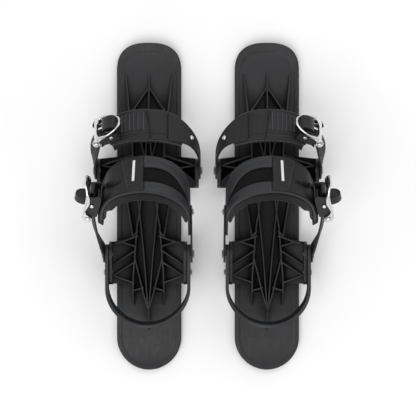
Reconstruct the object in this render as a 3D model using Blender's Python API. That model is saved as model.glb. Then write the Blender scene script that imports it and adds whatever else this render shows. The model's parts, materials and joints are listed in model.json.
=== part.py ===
"""Pair of short strap-on ski-skates, left and right.

Frame: origin on the ground midway between the two skis at mid length, +Y
towards the tips, +X to the wearer's right, +Z up. Each ski is laid out in its
own local frame in millimetres: x grows towards the middle of the pair
(medial), y towards the tip, z up from the running base. The left ski is built
and the right ski is its mirror image.
"""

import math
from collections import namedtuple

import bmesh
import bpy
import numpy as np
from mathutils import Vector

RAD = math.radians
MM = 0.001

# ---------------------------------------------------------------- dimensions
# Lengths in millimetres; places on the side of the ski are (y, z).
SKI_OFFSET = 72.2           # centre line of the pair to centre line of a ski

GAP = 0.35                  # clearance between neighbouring pieces
HOLE_GAP = 0.35             # clearance round a shaft in its hole
BOLT_R, SCREW_R = 2.8, 1.9

WALL_IN, WALL_OUT = 56.8, 61.0       # front side wall of the ski
WALL_MID = (WALL_IN + WALL_OUT) / 2
RAIL_IN, RAIL_OUT = 42.8, 46.8       # rear side rail of the ski
RAIL_MID = (RAIL_IN + RAIL_OUT) / 2
HOOP_T = 4.0
HOOP_IN = RAIL_OUT + GAP
HOOP_OUT = HOOP_IN + HOOP_T
HOOP_MID = (HOOP_IN + HOOP_OUT) / 2
HOOP_SCREW = (-79.0, 36.0)

TOE_PIVOT = (43.0, 45.0)    # axis of the toe strap
TOE_TOP = (94.5, 83.5)      # crown of the toe strap
TOE_LENGTH = math.hypot(TOE_TOP[0] - TOE_PIVOT[0], TOE_TOP[1] - TOE_PIVOT[1])
TOE_DIRECTION = (
    (TOE_TOP[0] - TOE_PIVOT[0]) / TOE_LENGTH,
    (TOE_TOP[1] - TOE_PIVOT[1]) / TOE_LENGTH,
)
TOE_HALF_SPAN = 58.8
TOE_EXP = 2.35              # exponent of the superellipse arch
TOE_STRAIGHT = 12.0         # straight run above each toe axis
TOE_ANGLE_SIDE, TOE_ANGLE_TOP = -53.0, -23.5   # tilt of the band's width, degrees

ANKLE_PIVOT = (-57.0, 39.0)
ANKLE_DIRECTION = (0.669, 0.743)     # (y, z) direction from the axis to the crown
ANKLE_RADIUS = 49.0
ANKLE_REACH = 133.5         # axis to crown
ANKLE_LEG = ANKLE_REACH - ANKLE_RADIUS
ANKLE_ARC = math.pi * ANKLE_RADIUS
ANKLE_RUN = 2 * ANKLE_LEG + ANKLE_ARC

SHELL_T = 2.2
PAD_T = 6.6
STRAP_T = 2.1
STRAP_LIFT = SHELL_T + GAP  # underside of a strap above the shell's underside
STRAP_MID = STRAP_LIFT + STRAP_T / 2
STRAP_TOP = STRAP_LIFT + STRAP_T

# Origin and three axes of a place on a strap or a buckle.
Frame = namedtuple("Frame", "origin along across out")


# ------------------------------------------------------------ mesh utilities
def clear_scene():
    for ob in list(bpy.data.objects):
        bpy.data.objects.remove(ob, do_unlink=True)


def tidy(bm, dist=4e-7):
    bmesh.ops.remove_doubles(bm, verts=bm.verts, dist=dist)
    bmesh.ops.dissolve_degenerate(bm, edges=bm.edges, dist=dist)
    bmesh.ops.recalc_face_normals(bm, faces=bm.faces)


def temp_object(mesh):
    ob = bpy.data.objects.new("tmp", mesh)
    bpy.context.scene.collection.objects.link(ob)
    return ob


def solid(points, faces):
    """A temporary object from vertices in millimetres and faces."""
    bm = bmesh.new()
    verts = [bm.verts.new((p[0] * MM, p[1] * MM, p[2] * MM)) for p in points]
    for face in faces:
        bm.faces.new([verts[i] for i in face])
    tidy(bm)
    mesh = bpy.data.meshes.new("tmp")
    bm.to_mesh(mesh)
    bm.free()
    return temp_object(mesh)


def drop(ob):
    mesh = ob.data
    bpy.data.objects.remove(ob, do_unlink=True)
    bpy.data.meshes.remove(mesh)


def combine(base, others, operation):
    """One EXACT boolean of base with a group of solids, which are used up."""
    group = bpy.data.collections.new("operands")
    bpy.context.scene.collection.children.link(group)
    for ob in others:
        group.objects.link(ob)
    modifier = base.modifiers.new("bool", "BOOLEAN")
    modifier.operation = operation
    modifier.solver = "EXACT"
    modifier.operand_type = "COLLECTION"
    modifier.collection = group
    modifier.use_self = operation == "UNION"
    bpy.context.view_layer.update()
    depsgraph = bpy.context.evaluated_depsgraph_get()
    mesh = bpy.data.meshes.new_from_object(base.evaluated_get(depsgraph))
    for ob in others:
        drop(ob)
    drop(base)
    bpy.data.collections.remove(group)
    bm = bmesh.new()
    bm.from_mesh(mesh)
    tidy(bm)
    bm.to_mesh(mesh)
    bm.free()
    return temp_object(mesh)


def union(parts):
    return combine(parts[0], parts[1:], "UNION")


def cut(base, cutters):
    return combine(base, cutters, "DIFFERENCE")


def block(bottom, top):
    """Six-faced block from four bottom and four top corners in order."""
    return solid(
        list(bottom) + list(top),
        [(3, 2, 1, 0), (4, 5, 6, 7), (0, 1, 5, 4), (1, 2, 6, 5), (2, 3, 7, 6), (3, 0, 4, 7)],
    )


def loft(rings):
    """Closed solid through rings of equal point count."""
    count, size = len(rings), len(rings[0])
    points = [p for ring in rings for p in ring]
    faces = []
    for i in range(count - 1):
        near, far = i * size, (i + 1) * size
        for j in range(size):
            k = (j + 1) % size
            faces.append((near + j, near + k, far + k, far + j))
    faces.append(tuple(range(size))[::-1])
    faces.append(tuple(range((count - 1) * size, count * size)))
    return solid(points, faces)


def turned(origin, axis, profile, sides):
    """Solid of revolution: profile is (distance along the axis, radius)."""
    axis = Vector(axis).normalized()
    u = axis.orthogonal().normalized()
    v = axis.cross(u)
    origin = Vector(origin)
    angles = [2 * math.pi * k / sides for k in range(sides)]
    return loft([
        [
            tuple(origin + axis * distance + (u * math.cos(a) + v * math.sin(a)) * radius)
            for a in angles
        ]
        for distance, radius in profile
    ])


def cylinder(centre, axis, radius, length, sides=16):
    return turned(centre, axis, [(-length / 2, radius), (length / 2, radius)], sides)


def prism(frame, outline, start, end):
    """Outline of (along, out) points swept across a frame."""
    origin, along, across, out = frame
    return loft([
        [tuple(origin + along * p[0] + across * b + out * p[1]) for p in outline]
        for b in (start, end)
    ])


def slab_x(outline, x0, x1):
    """Outline of (y, z) points swept from x0 to x1."""
    return loft([[(x, y, z) for y, z in outline] for x in (x0, x1)])


def grid_solid(points, cells):
    """Closed sheet solid: points[i][j] = (inner, outer) corner pair, cells the
    set of (i, j) quads that hold material."""
    index, corners = {}, []

    def vid(i, j, layer):
        key = (i, j, layer)
        if key not in index:
            index[key] = len(corners)
            corners.append(points[i][j][layer])
        return index[key]

    faces = []
    for i, j in cells:
        faces.append([vid(i, j, 1), vid(i + 1, j, 1), vid(i + 1, j + 1, 1), vid(i, j + 1, 1)])
        faces.append([vid(i, j, 0), vid(i, j + 1, 0), vid(i + 1, j + 1, 0), vid(i + 1, j, 0)])
        # a wall wherever the neighbouring cell is empty
        for di, dj, p, q in (
            (-1, 0, (i, j), (i, j + 1)),
            (1, 0, (i + 1, j), (i + 1, j + 1)),
            (0, -1, (i, j), (i + 1, j)),
            (0, 1, (i, j + 1), (i + 1, j + 1)),
        ):
            if (i + di, j + dj) not in cells:
                faces.append([vid(*p, 0), vid(*q, 0), vid(*q, 1), vid(*p, 1)])
    return solid(corners, faces)


def interp(x, table):
    return float(np.interp(x, [row[0] for row in table], [row[1] for row in table]))


def arc(cx, cy, radius, start, end, steps):
    """Points of an arc between two angles in degrees."""
    angles = [RAD(start + (end - start) * k / steps) for k in range(steps + 1)]
    return [(cx + radius * math.cos(a), cy + radius * math.sin(a)) for a in angles]


def side_hole(x, place, shaft_radius, length, sides=16):
    """Cutter along X at a (y, z) place, a clearance wider than the shaft."""
    return cylinder((x, *place), (1, 0, 0), shaft_radius + HOLE_GAP, length, sides)


# ---------------------------------------------------------------------- deck
HALF_LENGTH = 200.0
SKI_HALF_WIDTH = 39.4
TIP_START, TAIL_START = 165.0, -160.6    # where the plan starts to round off
TIP_PLAN_EXP = 2.6
END_MARGIN = 0.35           # keeps the end rings from closing to a point
TIP_CURVE_START, TAIL_CURVE_START = 150.0, -175.0
TIP_RISE, TAIL_RISE = 10.0, 4.0
DECK_T, END_T = 8.6, 5.0
TAIL_TAPER_START = -160.0
BORDER = 5.0                # raised border round the deck
BORDER_STEP = 0.7
DECK_CHAMFER = 1.4

# Angles, in degrees, whose sines space the sections of the rounded ends.
TIP_ANGLES = (0, 18, 35, 50, 62, 73, 82, 90)
TAIL_ANGLES = (0, 15, 30, 43, 55, 66, 76, 84, 90)


def half_width(y):
    if y > TIP_START:
        f = (y - TIP_START) / (HALF_LENGTH - TIP_START + END_MARGIN)
        return SKI_HALF_WIDTH * (1 - f**TIP_PLAN_EXP) ** (1 / TIP_PLAN_EXP)
    if y < TAIL_START:
        f = (TAIL_START - y) / (HALF_LENGTH + TAIL_START + END_MARGIN)
        return SKI_HALF_WIDTH * math.sqrt(1 - f * f)
    return SKI_HALF_WIDTH


def base_height(y):
    if y > TIP_CURVE_START:
        return TIP_RISE * ((y - TIP_CURVE_START) / (HALF_LENGTH - TIP_CURVE_START)) ** 2
    if y < TAIL_CURVE_START:
        return TAIL_RISE * ((TAIL_CURVE_START - y) / (HALF_LENGTH + TAIL_CURVE_START)) ** 2
    return 0.0


def deck_thickness(y):
    if y > TIP_CURVE_START:
        return DECK_T + (END_T - DECK_T) * (y - TIP_CURVE_START) / (HALF_LENGTH - TIP_CURVE_START)
    if y < TAIL_TAPER_START:
        return DECK_T + (END_T - DECK_T) * (TAIL_TAPER_START - y) / (HALF_LENGTH + TAIL_TAPER_START)
    return DECK_T


def deck():
    stations = [TAIL_START - (HALF_LENGTH + TAIL_START) * math.sin(RAD(a)) for a in TAIL_ANGLES]
    stations += [TAIL_CURVE_START, 0.0, TIP_CURVE_START]
    stations += [TIP_START + (HALF_LENGTH - TIP_START) * math.sin(RAD(a)) for a in TIP_ANGLES]
    rings = []
    for y in sorted({round(v, 4) for v in stations}):
        w = half_width(y)
        bottom = base_height(y)
        top = bottom + deck_thickness(y)
        # border and chamfer shrink with the narrow end sections
        border_in = min(BORDER, w * 0.45)
        step_in = min(BORDER + BORDER_STEP, w * 0.55)
        chamfer = min(DECK_CHAMFER, w * 0.2)
        half = [
            (w - chamfer, bottom),
            (w, bottom + 1.2),
            (w, top - 1.0),
            (w - chamfer * 0.8, top),
            (w - border_in, top),
            (w - step_in, top - BORDER_STEP),
        ]
        rings.append([(x, y, z) for x, z in half] + [(-x, y, z) for x, z in reversed(half)])
    return loft(rings)


# ---------------------------------------------------------------------- ribs
RIB_TOP, RIB_WIDTH, RIB_FOOT = 28.0, 2.4, 5.2
RIB_OVERRUN = 0.9           # overlap at each end, as a share of the half width
RIB_DRAFT = 0.82            # width of the top as a share of the foot's


def front_foot(x):
    """Foot of a rib on the sloping front shelf."""
    return 5.0 + (x - 33.0) / 28.0 * 16.0


def rear_foot(x):
    """Foot of a rib on the sloping rear panel."""
    return 10.5 + (x - 14.0) / 32.0 * 11.5


def rib_plan():
    """Runs of (x, y, top, foot) points, on both sides and on the centre line."""
    top, foot = RIB_TOP, RIB_FOOT
    one_side = [
        [(28.8, 165.5, 8.0, foot), (23.8, 117, 25, foot), (19.3, 77, top, foot),
         (18.9, 62, top, foot)],
        [(0, 146, 14, foot), (21, 113, 26.2, foot)],
        [(19.5, 118, 25.5, foot), (3.8, 57, top, foot)],
        [(0, 110, top - 0.4, foot), (3.8, 57, top, foot)],
        [(3.8, 57, top, foot), (10.7, -6.3, top, foot)],
        [(18.9, 62, top, foot), (10.7, -6.3, top, foot)],
        [(10.7, -6.3, top, foot), (13.7, -24, top, foot), (16.7, -62.4, top, foot),
         (18.4, -84, top, foot), (18.8, -102, top, foot), (18.3, -121, 8.4, foot)],
        [(10.7, -6.3, top, foot), (5.2, -62.4, top, foot), (1.0, -118, top - 0.2, foot)],
        [(16.7, -62.4, top, foot), (5.6, -107, top, foot), (0.5, -124, top - 0.3, foot)],
        [(29, 23, 8.6, foot), (26, 8, 22, foot), (18.8, -36.5, top, foot)],
        [(18.8, -102, top, foot), (6.9, -98.5, top - 0.3, foot)],
        [(18.8, -36.5, top, foot), (13.7, -30, top, foot)],
        # front wing
        [(18.9, 62, top, 6.0), (55, 49.5, 38, front_foot(55))],
        [(18.9, 50, top, 6.0), (37, 46.6, 30, front_foot(37)), (55, 31.0, 38, front_foot(55))],
        [(37, 46.6, 30, front_foot(37)), (54, 49.0, 36, front_foot(54))],
        # rear wing
        [(13.7, -36, top, 8), (42.5, -46.5, 30, rear_foot(42.5))],
        [(16.3, -48, top, 10), (33, -42.8, top + 0.6, rear_foot(33))],
        [(17, -54, top, 10), (42.5, -70.2, 30, rear_foot(42.5))],
        [(18, -68, top, 10), (42.5, -83.4, 30, rear_foot(42.5)), (19.4, -92, top, 10)],
    ]
    runs = []
    for k, run in enumerate(one_side):
        # small height steps keep the tops of meeting runs from being coplanar
        sink = 0.06 * (k % 7) + 0.03
        runs.append([(x, y, t - sink, f - sink) for x, y, t, f in run])
        runs.append([(-x, y, t - sink - 0.02, f - sink - 0.02) for x, y, t, f in run])
    runs.append([(0, 165.5, 8.2, foot), (0, 108, top, foot)])
    runs.append([(0, -120, top - 0.6, foot), (0, -127, top - 0.6, foot), (0, -152, 8.4, foot)])
    return runs


def rib(start, end):
    """Upright rib between two (x, y, top, foot) points."""
    half = RIB_WIDTH / 2
    direction = Vector((end[0] - start[0], end[1] - start[1]))
    length = direction.length
    direction /= length
    normal = Vector((-direction.y, direction.x))
    ends = []
    for point, sign in ((start, -1), (end, 1)):
        overrun = half * RIB_OVERRUN
        k = sign * overrun / length
        centre = Vector((point[0], point[1])) + direction * (sign * overrun)
        top = point[2] + (end[2] - start[2]) * k
        foot = point[3] + (end[3] - start[3]) * k
        ends.append((centre, top, foot))
    (centre0, top0, foot0), (centre1, top1, foot1) = ends

    def corners(offset, z0, z1):
        places = (
            (centre0 + offset, z0), (centre1 + offset, z1),
            (centre1 - offset, z1), (centre0 - offset, z0),
        )
        return [(p.x, p.y, z) for p, z in places]

    return block(
        corners(normal * half, foot0, foot1),
        corners(normal * half * RIB_DRAFT, top0, top1),
    )


# ------------------------------------------------------------------ ski body
# Blocks as (bottom corners, top corners), each corner (x, y, z).
FRONT_SHELF = (
    [(31, 22.6, 2.4), (60.2, 22.6, 17.5), (60.2, 58.0, 17.5), (31, 62.0, 2.4)],
    [(31, 22.6, 6.6), (60.2, 22.6, 24.5), (60.2, 58.0, 24.5), (31, 62.0, 6.6)],
)
REAR_PANEL = (
    [(13.5, -94.0, 5.0), (45.0, -94.0, 14.5), (45.0, -43.0, 14.5), (13.5, -37.5, 5.0)],
    [(13.5, -93.5, 15.5), (45.0, -93.5, 27.6), (45.0, -43.5, 27.6), (13.5, -38.0, 15.5)],
)
HEEL_STEP = (
    [(-21.5, -103.6, 5.0), (21.5, -103.6, 5.0), (17.5, -118.0, 5.0), (-17.5, -118.0, 5.0)],
    [(-21.0, -104.4, 9.4), (21.0, -104.4, 9.4), (17.0, -117.2, 9.4), (-17.0, -117.2, 9.4)],
)
# Side outlines as (y, z).
FRONT_WALL = [
    (22.6, 17.8), (58.0, 17.8), (58.0, 38.0), (55.5, 45.0), (49.5, 50.5),
    (37.0, 50.5), (30.0, 46.0), (22.6, 34.0),
]
REAR_RAIL = [
    (-94.0, 15.0), (-43.0, 15.0), (-42.0, 34.0), (-46.0, 42.0), (-52.0, 45.6),
    (-61.5, 45.6), (-68.0, 42.4), (-94.0, 41.4),
]


def side_block(corners, side):
    bottom, top = [[(side * x, y, z) for x, y, z in level] for level in corners]
    return block(bottom, top)


def ski_body():
    parts = [deck()]
    for run in rib_plan():
        parts += [rib(start, end) for start, end in zip(run[:-1], run[1:])]
    for side in (1, -1):
        parts.append(side_block(FRONT_SHELF, side))
        parts.append(slab_x(FRONT_WALL, side * WALL_IN, side * WALL_OUT))
        parts.append(side_block(REAR_PANEL, side))
        parts.append(slab_x(REAR_RAIL, side * RAIL_IN, side * RAIL_OUT))
    parts.append(block(*HEEL_STEP))
    body = union(parts)
    cutters = []
    for side in (1, -1):
        cutters.append(side_hole(side * WALL_MID, TOE_PIVOT, BOLT_R, 14))
        cutters.append(side_hole(side * RAIL_MID, ANKLE_PIVOT, BOLT_R, 8))
        cutters.append(side_hole(side * RAIL_MID, HOOP_SCREW, SCREW_R, 8, 12))
    return cut(body, cutters)


# ----------------------------------------------------------------- heel hoop
HOOP_BEND_Y = -98.0         # the sides run straight up to here
HOOP_Z = 38.0               # centre height of the sides
HOOP_DEPTH = 44.0           # reach of the bend behind HOOP_BEND_Y
HOOP_RISE = 19.0
HOOP_SIDE_Y = (-45.5, -48.0, -52.0, HOOP_BEND_Y)
HOOP_HALF_HEIGHTS = (4.5, 7.2, 9.0, 9.2)    # from each end inwards
HOOP_LEAN = 2.6             # extra thickness of the lower inner edge at the back
HOOP_LEAN_RUN = 30.0
HOOP_CHAMFER = 1.0


def hoop_line():
    """Centre line of the hoop, medial front end to lateral front end, with
    the outward direction in plan."""
    points = [(HOOP_MID, y, HOOP_Z, (1.0, 0.0)) for y in HOOP_SIDE_Y]
    for degrees in range(12, 169, 12):
        a = RAD(degrees)
        x = HOOP_MID * math.cos(a)
        y = HOOP_BEND_Y - HOOP_DEPTH * math.sin(a)
        z = HOOP_Z + HOOP_RISE * math.sin(a) ** 1.6
        nx, ny = math.cos(a) / HOOP_MID, -math.sin(a) / HOOP_DEPTH
        norm = math.hypot(nx, ny)
        points.append((x, y, z, (nx / norm, ny / norm)))
    points += [(-HOOP_MID, y, HOOP_Z, (-1.0, 0.0)) for y in reversed(HOOP_SIDE_Y)]
    return points


def heel_hoop():
    points = hoop_line()
    half_t = (HOOP_OUT - HOOP_IN) / 2
    rings = []
    for i, (x, y, z, (nx, ny)) in enumerate(points):
        from_end = min(i, len(points) - 1 - i)
        half_h = HOOP_HALF_HEIGHTS[min(from_end, 3)]
        lean = HOOP_LEAN * max(0.0, min(1.0, (HOOP_BEND_Y - y) / HOOP_LEAN_RUN))
        section = (
            (half_t, -half_h + HOOP_CHAMFER), (half_t, half_h - HOOP_CHAMFER),
            (half_t - HOOP_CHAMFER, half_h), (-half_t, half_h),
            (-half_t - lean, -half_h), (half_t - HOOP_CHAMFER, -half_h),
        )
        rings.append([(x + nx * t, y + ny * t, z + h) for t, h in section])
    hoop = loft(rings)
    cutters = []
    for side in (1, -1):
        cutters.append(side_hole(side * HOOP_MID, ANKLE_PIVOT, BOLT_R, 8))
        cutters.append(side_hole(side * HOOP_MID, HOOP_SCREW, SCREW_R, 8, 12))
    return cut(hoop, cutters)


# --------------------------------------------------------------- strap bands
def toe_arch(q):
    """x and distance from the axis towards the crown, at angle q."""
    if q <= 0:
        return TOE_HALF_SPAN, TOE_STRAIGHT + q * TOE_LENGTH
    if q >= math.pi:
        return -TOE_HALF_SPAN, TOE_STRAIGHT + (math.pi - q) * TOE_LENGTH
    cos, sin = math.cos(q), math.sin(q)
    x = TOE_HALF_SPAN * math.copysign(abs(cos) ** (2 / TOE_EXP), cos)
    return x, TOE_STRAIGHT + (TOE_LENGTH - TOE_STRAIGHT) * sin ** (2 / TOE_EXP)


def toe_station(q):
    """Frame on the toe band. q is the angle round the arch in radians, 0 where
    the arch starts on the medial side, pi on the lateral one; below 0 and
    above pi the band runs straight on, past the axes."""
    dir_y, dir_z = TOE_DIRECTION
    x, reach = toe_arch(q)
    x0, reach0 = toe_arch(q - 1e-3)
    x1, reach1 = toe_arch(q + 1e-3)
    step = reach1 - reach0
    along = Vector((x1 - x0, dir_y * step, dir_z * step)).normalized()
    f = max(0.0, min(1.0, reach / TOE_LENGTH))
    tilt = RAD(TOE_ANGLE_SIDE + (TOE_ANGLE_TOP - TOE_ANGLE_SIDE) * f)
    across = Vector((0, math.cos(tilt), math.sin(tilt)))
    out = across.cross(along).normalized()
    centre = Vector((x, TOE_PIVOT[0] + dir_y * reach, TOE_PIVOT[1] + dir_z * reach))
    return Frame(centre, along, across, out)


def ankle_station(q):
    """Frame on the ankle band. q is the length along it from the medial axis
    in millimetres."""
    if q <= ANKLE_LEG:
        x, reach, dx, step = ANKLE_RADIUS, q, 0.0, 1.0
    elif q >= ANKLE_LEG + ANKLE_ARC:
        x, reach, dx, step = -ANKLE_RADIUS, ANKLE_RUN - q, 0.0, -1.0
    else:
        a = (q - ANKLE_LEG) / ANKLE_RADIUS
        x, reach = ANKLE_RADIUS * math.cos(a), ANKLE_LEG + ANKLE_RADIUS * math.sin(a)
        dx, step = -math.sin(a), math.cos(a)
    dir_y, dir_z = ANKLE_DIRECTION
    along = Vector((dx, dir_y * step, dir_z * step)).normalized()
    across = Vector((0, dir_z, -dir_y)).normalized()
    out = across.cross(along).normalized()
    centre = Vector((x, ANKLE_PIVOT[0] + dir_y * reach, ANKLE_PIVOT[1] + dir_z * reach))
    return Frame(centre, along, across, out)


def band(station, knots, lines, inner, outer, holes=()):
    """Sheet solid on a band between two offsets. lines are functions of the
    knot giving the across positions from rear to front; holes are (i, j)
    cells left open."""
    points = []
    for q in knots:
        centre, _, across, out = station(q)
        row = []
        for line in lines:
            place = centre + across * line(q)
            row.append((tuple(place + out * inner), tuple(place + out * outer)))
        points.append(row)
    cells = {
        (i, j) for i in range(len(knots) - 1) for j in range(len(lines) - 1) if (i, j) not in holes
    }
    return grid_solid(points, cells)


def table_line(table):
    return lambda q: interp(q, table)


def centre_line(q):
    return 0.0


def symmetric(edge):
    """Rear edge, centre line and front edge from the front one."""
    return [lambda q: -edge(q), centre_line, edge]


def lug_half(place, end, radius, full):
    """Half width of a strap whose end is rounded about a pivot."""
    distance = abs(place - end)
    if distance >= radius:
        return full
    rounded = math.sqrt(max(0.0, radius**2 - (radius - distance) ** 2))
    return max(3.2, rounded * full / radius)


def screw_hole(station, q):
    centre, _, _, out = station(q)
    return cylinder(tuple(centre + out * 2.0), tuple(out), SCREW_R + HOLE_GAP, 12, 12)


# ----------------------------------------------------------------- toe strap
def by_degrees(*rows):
    """Table with its first column turned from degrees to radians."""
    return [(RAD(angle), value) for angle, value in rows]


# Angles round the arch, in degrees, of the toe band's sections.
TOE_KNOTS = (25, 31, 38, 46, 50, 54, 58, 62, 69, 76, 83, 90, 97, 104, 111, 118, 122, 126, 130,
             134, 142, 149)
# Edge tables: (angle in degrees, across position or half width).
TOE_PAD_FRONT = by_degrees(
    (46, 14.5), (54, 19.6), (62, 21.4), (76, 21.8), (104, 21.8), (118, 21.8), (126, 21.0),
    (134, 17.0),
)
TOE_PAD_REAR = by_degrees(
    (46, -14.5), (54, -19.6), (62, -21.4), (76, -21.8), (104, -21.8), (113, -22.8),
    (122, -25.6), (127, -26.4), (134, -23.0),
)
# the shell's ends run on as narrow tongues under the connector and the buckle
TOE_SHELL_HALF = by_degrees(
    (25, 7.0), (38, 9.6), (46, 12.0), (54, 18.4), (62, 20.4), (76, 20.9), (104, 20.9),
    (118, 20.8), (126, 19.4), (134, 13.0), (142, 10.0), (149, 8.5),
)
TOE_CONNECTOR_HALF = by_degrees((0, 10.4), (25, 11.2), (38, 13.0), (54, 16.2), (69, 19.0))
TOE_SCREW_Q = RAD(35.5)
LUG_RADIUS = 10.4


def toe_pad():
    knots = [RAD(a) for a in TOE_KNOTS if 45 < a < 135]
    lines = [table_line(TOE_PAD_REAR), centre_line, table_line(TOE_PAD_FRONT)]
    return band(toe_station, knots, lines, -PAD_T, -GAP - 0.1)


def toe_shell():
    knots = [RAD(a) for a in TOE_KNOTS]
    shell = band(toe_station, knots, symmetric(table_line(TOE_SHELL_HALF)), 0.0, SHELL_T)
    return cut(shell, [screw_hole(toe_station, TOE_SCREW_Q)])


def toe_connector():
    axis = -TOE_STRAIGHT / TOE_LENGTH
    end = axis - 0.16
    knots = [end, end + 0.015, end + 0.05, end + 0.10, axis, axis + 0.08, 0.0, 0.10, 0.22]
    knots += [RAD(a) for a in TOE_KNOTS if a <= 69 and a not in (50, 58)]

    def edge(q):
        full = interp(q, TOE_CONNECTOR_HALF)
        return lug_half(q * TOE_LENGTH, end * TOE_LENGTH, LUG_RADIUS, full)

    strap = band(toe_station, knots, symmetric(edge), STRAP_LIFT, STRAP_TOP)
    return cut(strap, [
        side_hole(TOE_HALF_SPAN + STRAP_MID, TOE_PIVOT, BOLT_R, 8),
        screw_hole(toe_station, TOE_SCREW_Q),
    ])


# --------------------------------------------------------------- ankle strap
ANKLE_KNOTS = [44.0, 58.0, 72.0, ANKLE_LEG]
ANKLE_KNOTS += [ANKLE_LEG + ANKLE_ARC * k / 16 for k in range(1, 17)]
ANKLE_KNOTS += [ANKLE_RUN - 72.0, ANKLE_RUN - 64.0]
# Edge tables: (length along the band, across position).
ANKLE_PAD_FRONT = [
    (58, 14), (72, 21), (ANKLE_LEG, 27), (106, 32), (118, 34), (206, 34), (218, 32),
    (ANKLE_RUN - ANKLE_LEG, 27), (ANKLE_RUN - 72, 21),
]
ANKLE_PAD_REAR = [
    (58, -15), (72, -24), (ANKLE_LEG, -29), (106, -32), (118, -33), (206, -33), (218, -32),
    (ANKLE_RUN - ANKLE_LEG, -29), (ANKLE_RUN - 72, -24),
]
ANKLE_SHELL_FRONT = [
    (44, 11), (58, 13), (72, 19.5), (ANKLE_LEG, 25.5), (106, 30.5), (118, 32.6), (206, 32.6),
    (218, 30.5), (ANKLE_RUN - ANKLE_LEG, 23), (ANKLE_RUN - 72, 16), (ANKLE_RUN - 64, 13),
]
ANKLE_SHELL_REAR = [
    (44, -11), (58, -12.5), (72, -15), (ANKLE_LEG, -17.5), (106, -19.6), (118, -20.8),
    (140, -21.8), (165, -21.8), (185, -20.6), (206, -18.2), (218, -17.5),
    (ANKLE_RUN - ANKLE_LEG, -16.5), (ANKLE_RUN - 72, -14), (ANKLE_RUN - 64, -12),
]
ANKLE_LUG = 10.5            # end of the connector beyond its axis
ANKLE_CONNECTOR_KNOTS = (-ANKLE_LUG, -9.5, -7.0, -3.5, 0.0, 4.0, 9.0, 15.0, 30.0, 44.0, 58.0,
                         72.0, 82.0, ANKLE_LEG)
# (length along the band, half width)
ANKLE_CONNECTOR_HALF = [(-ANKLE_LUG, 10.5), (44, 10.5), (72, 12.0), (82, 9.5), (ANKLE_LEG, 5.5)]
ANKLE_SCREW_Q = 76.0
WINDOW_CELLS = range(4, 11)  # sections of the shell open between its inner lines
WINDOW_REAR, WINDOW_FRONT = 0.28, 0.71    # shares of the shell's width


def ankle_pad():
    rear, front = table_line(ANKLE_PAD_REAR), table_line(ANKLE_PAD_FRONT)
    lines = [rear, lambda q: 0.5 * (rear(q) + front(q)), front]
    return band(ankle_station, ANKLE_KNOTS[2:-1], lines, -PAD_T, -GAP)


def ankle_shell():
    def line_at(share):
        def line(q):
            rear = interp(q, ANKLE_SHELL_REAR)
            return rear + share * (interp(q, ANKLE_SHELL_FRONT) - rear)
        return line

    lines = [line_at(share) for share in (0.0, WINDOW_REAR, WINDOW_FRONT, 1.0)]
    holes = {(i, 1) for i in WINDOW_CELLS}
    shell = band(ankle_station, ANKLE_KNOTS, lines, 0.0, SHELL_T, holes)
    return cut(shell, [screw_hole(ankle_station, ANKLE_SCREW_Q)])


def ankle_connector():
    def edge(q):
        return lug_half(q, -ANKLE_LUG, ANKLE_LUG, interp(q, ANKLE_CONNECTOR_HALF))

    strap = band(ankle_station, ANKLE_CONNECTOR_KNOTS, symmetric(edge), STRAP_LIFT, STRAP_TOP)
    return cut(strap, [
        side_hole(ANKLE_RADIUS + STRAP_MID, ANKLE_PIVOT, BOLT_R, 8),
        screw_hole(ankle_station, ANKLE_SCREW_Q),
    ])


# ------------------------------------------------------------- buckle frames
# Origin under the mouth of the buckle, along up the strap, across it towards
# the front, out away from the foot. Both buckles are on the lateral side.
# Mouth and far end as (distance out from the middle, reach from the axis).
ANKLE_BUCKLE_MOUTH = (56.0, 78.6)
ANKLE_BUCKLE_END = (48.2, 111.2)
TOE_BUCKLE_Q = RAD(130)
TOE_BUCKLE_BACK = 11.2
TOE_BUCKLE_SHIFT = -3.0
TOE_BUCKLE_LIFT = SHELL_T + 1.0
TOE_BUCKLE_TURN = RAD(12)   # turned towards the rear on the strap


def ankle_buckle_frame():
    dir_y, dir_z = ANKLE_DIRECTION
    x, reach = ANKLE_BUCKLE_MOUTH
    slope = Vector((ANKLE_BUCKLE_END[0] - x, ANKLE_BUCKLE_END[1] - reach)).normalized()
    origin = Vector((-x, ANKLE_PIVOT[0] + dir_y * reach, ANKLE_PIVOT[1] + dir_z * reach))
    along = Vector((-slope.x, dir_y * slope.y, dir_z * slope.y)).normalized()
    across = Vector((0, dir_z, -dir_y)).normalized()
    return Frame(origin, along, across, along.cross(across).normalized())


def toe_buckle_frame():
    centre, band_along, band_across, out = toe_station(TOE_BUCKLE_Q)
    up = -band_along
    front = (band_across - up * band_across.dot(up)).normalized()
    cos, sin = math.cos(TOE_BUCKLE_TURN), math.sin(TOE_BUCKLE_TURN)
    along = up * cos - front * sin
    across = front * cos + up * sin
    origin = centre + across * TOE_BUCKLE_SHIFT + out * TOE_BUCKLE_LIFT - along * TOE_BUCKLE_BACK
    return Frame(origin, along, across, out)


def frame_point(frame, place):
    """Point at an (along, out) place in the middle of a frame."""
    return frame.origin + frame.along * place[0] + frame.out * place[1]


# ------------------------------------------------------------------- buckles
# Outlines and places are (along, out) in the buckle's frame.
ANKLE_BUCKLE_LENGTH, TOE_BUCKLE_LENGTH = 33.5, 27.0
FLOOR_T = 1.6
CHEEK_IN, CHEEK_OUT = 10.6, 12.8
CHEEK_BITE = 0.8            # floor and bridge run this far into the cheeks
EAR_IN, EAR_OUT = CHEEK_OUT + GAP, 15.4
LEVER_PIN = (-1.5, 10.1)
TAB_PIN = (19.3, 9.0)
LEVER_PIN_R = 2.0
TAB_PIN_R = LEVER_PIN_R - 0.4
BRIDGE = [(6.0, 5.6), (12.0, 5.6), (12.0, 7.4), (6.0, 7.4)]

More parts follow.
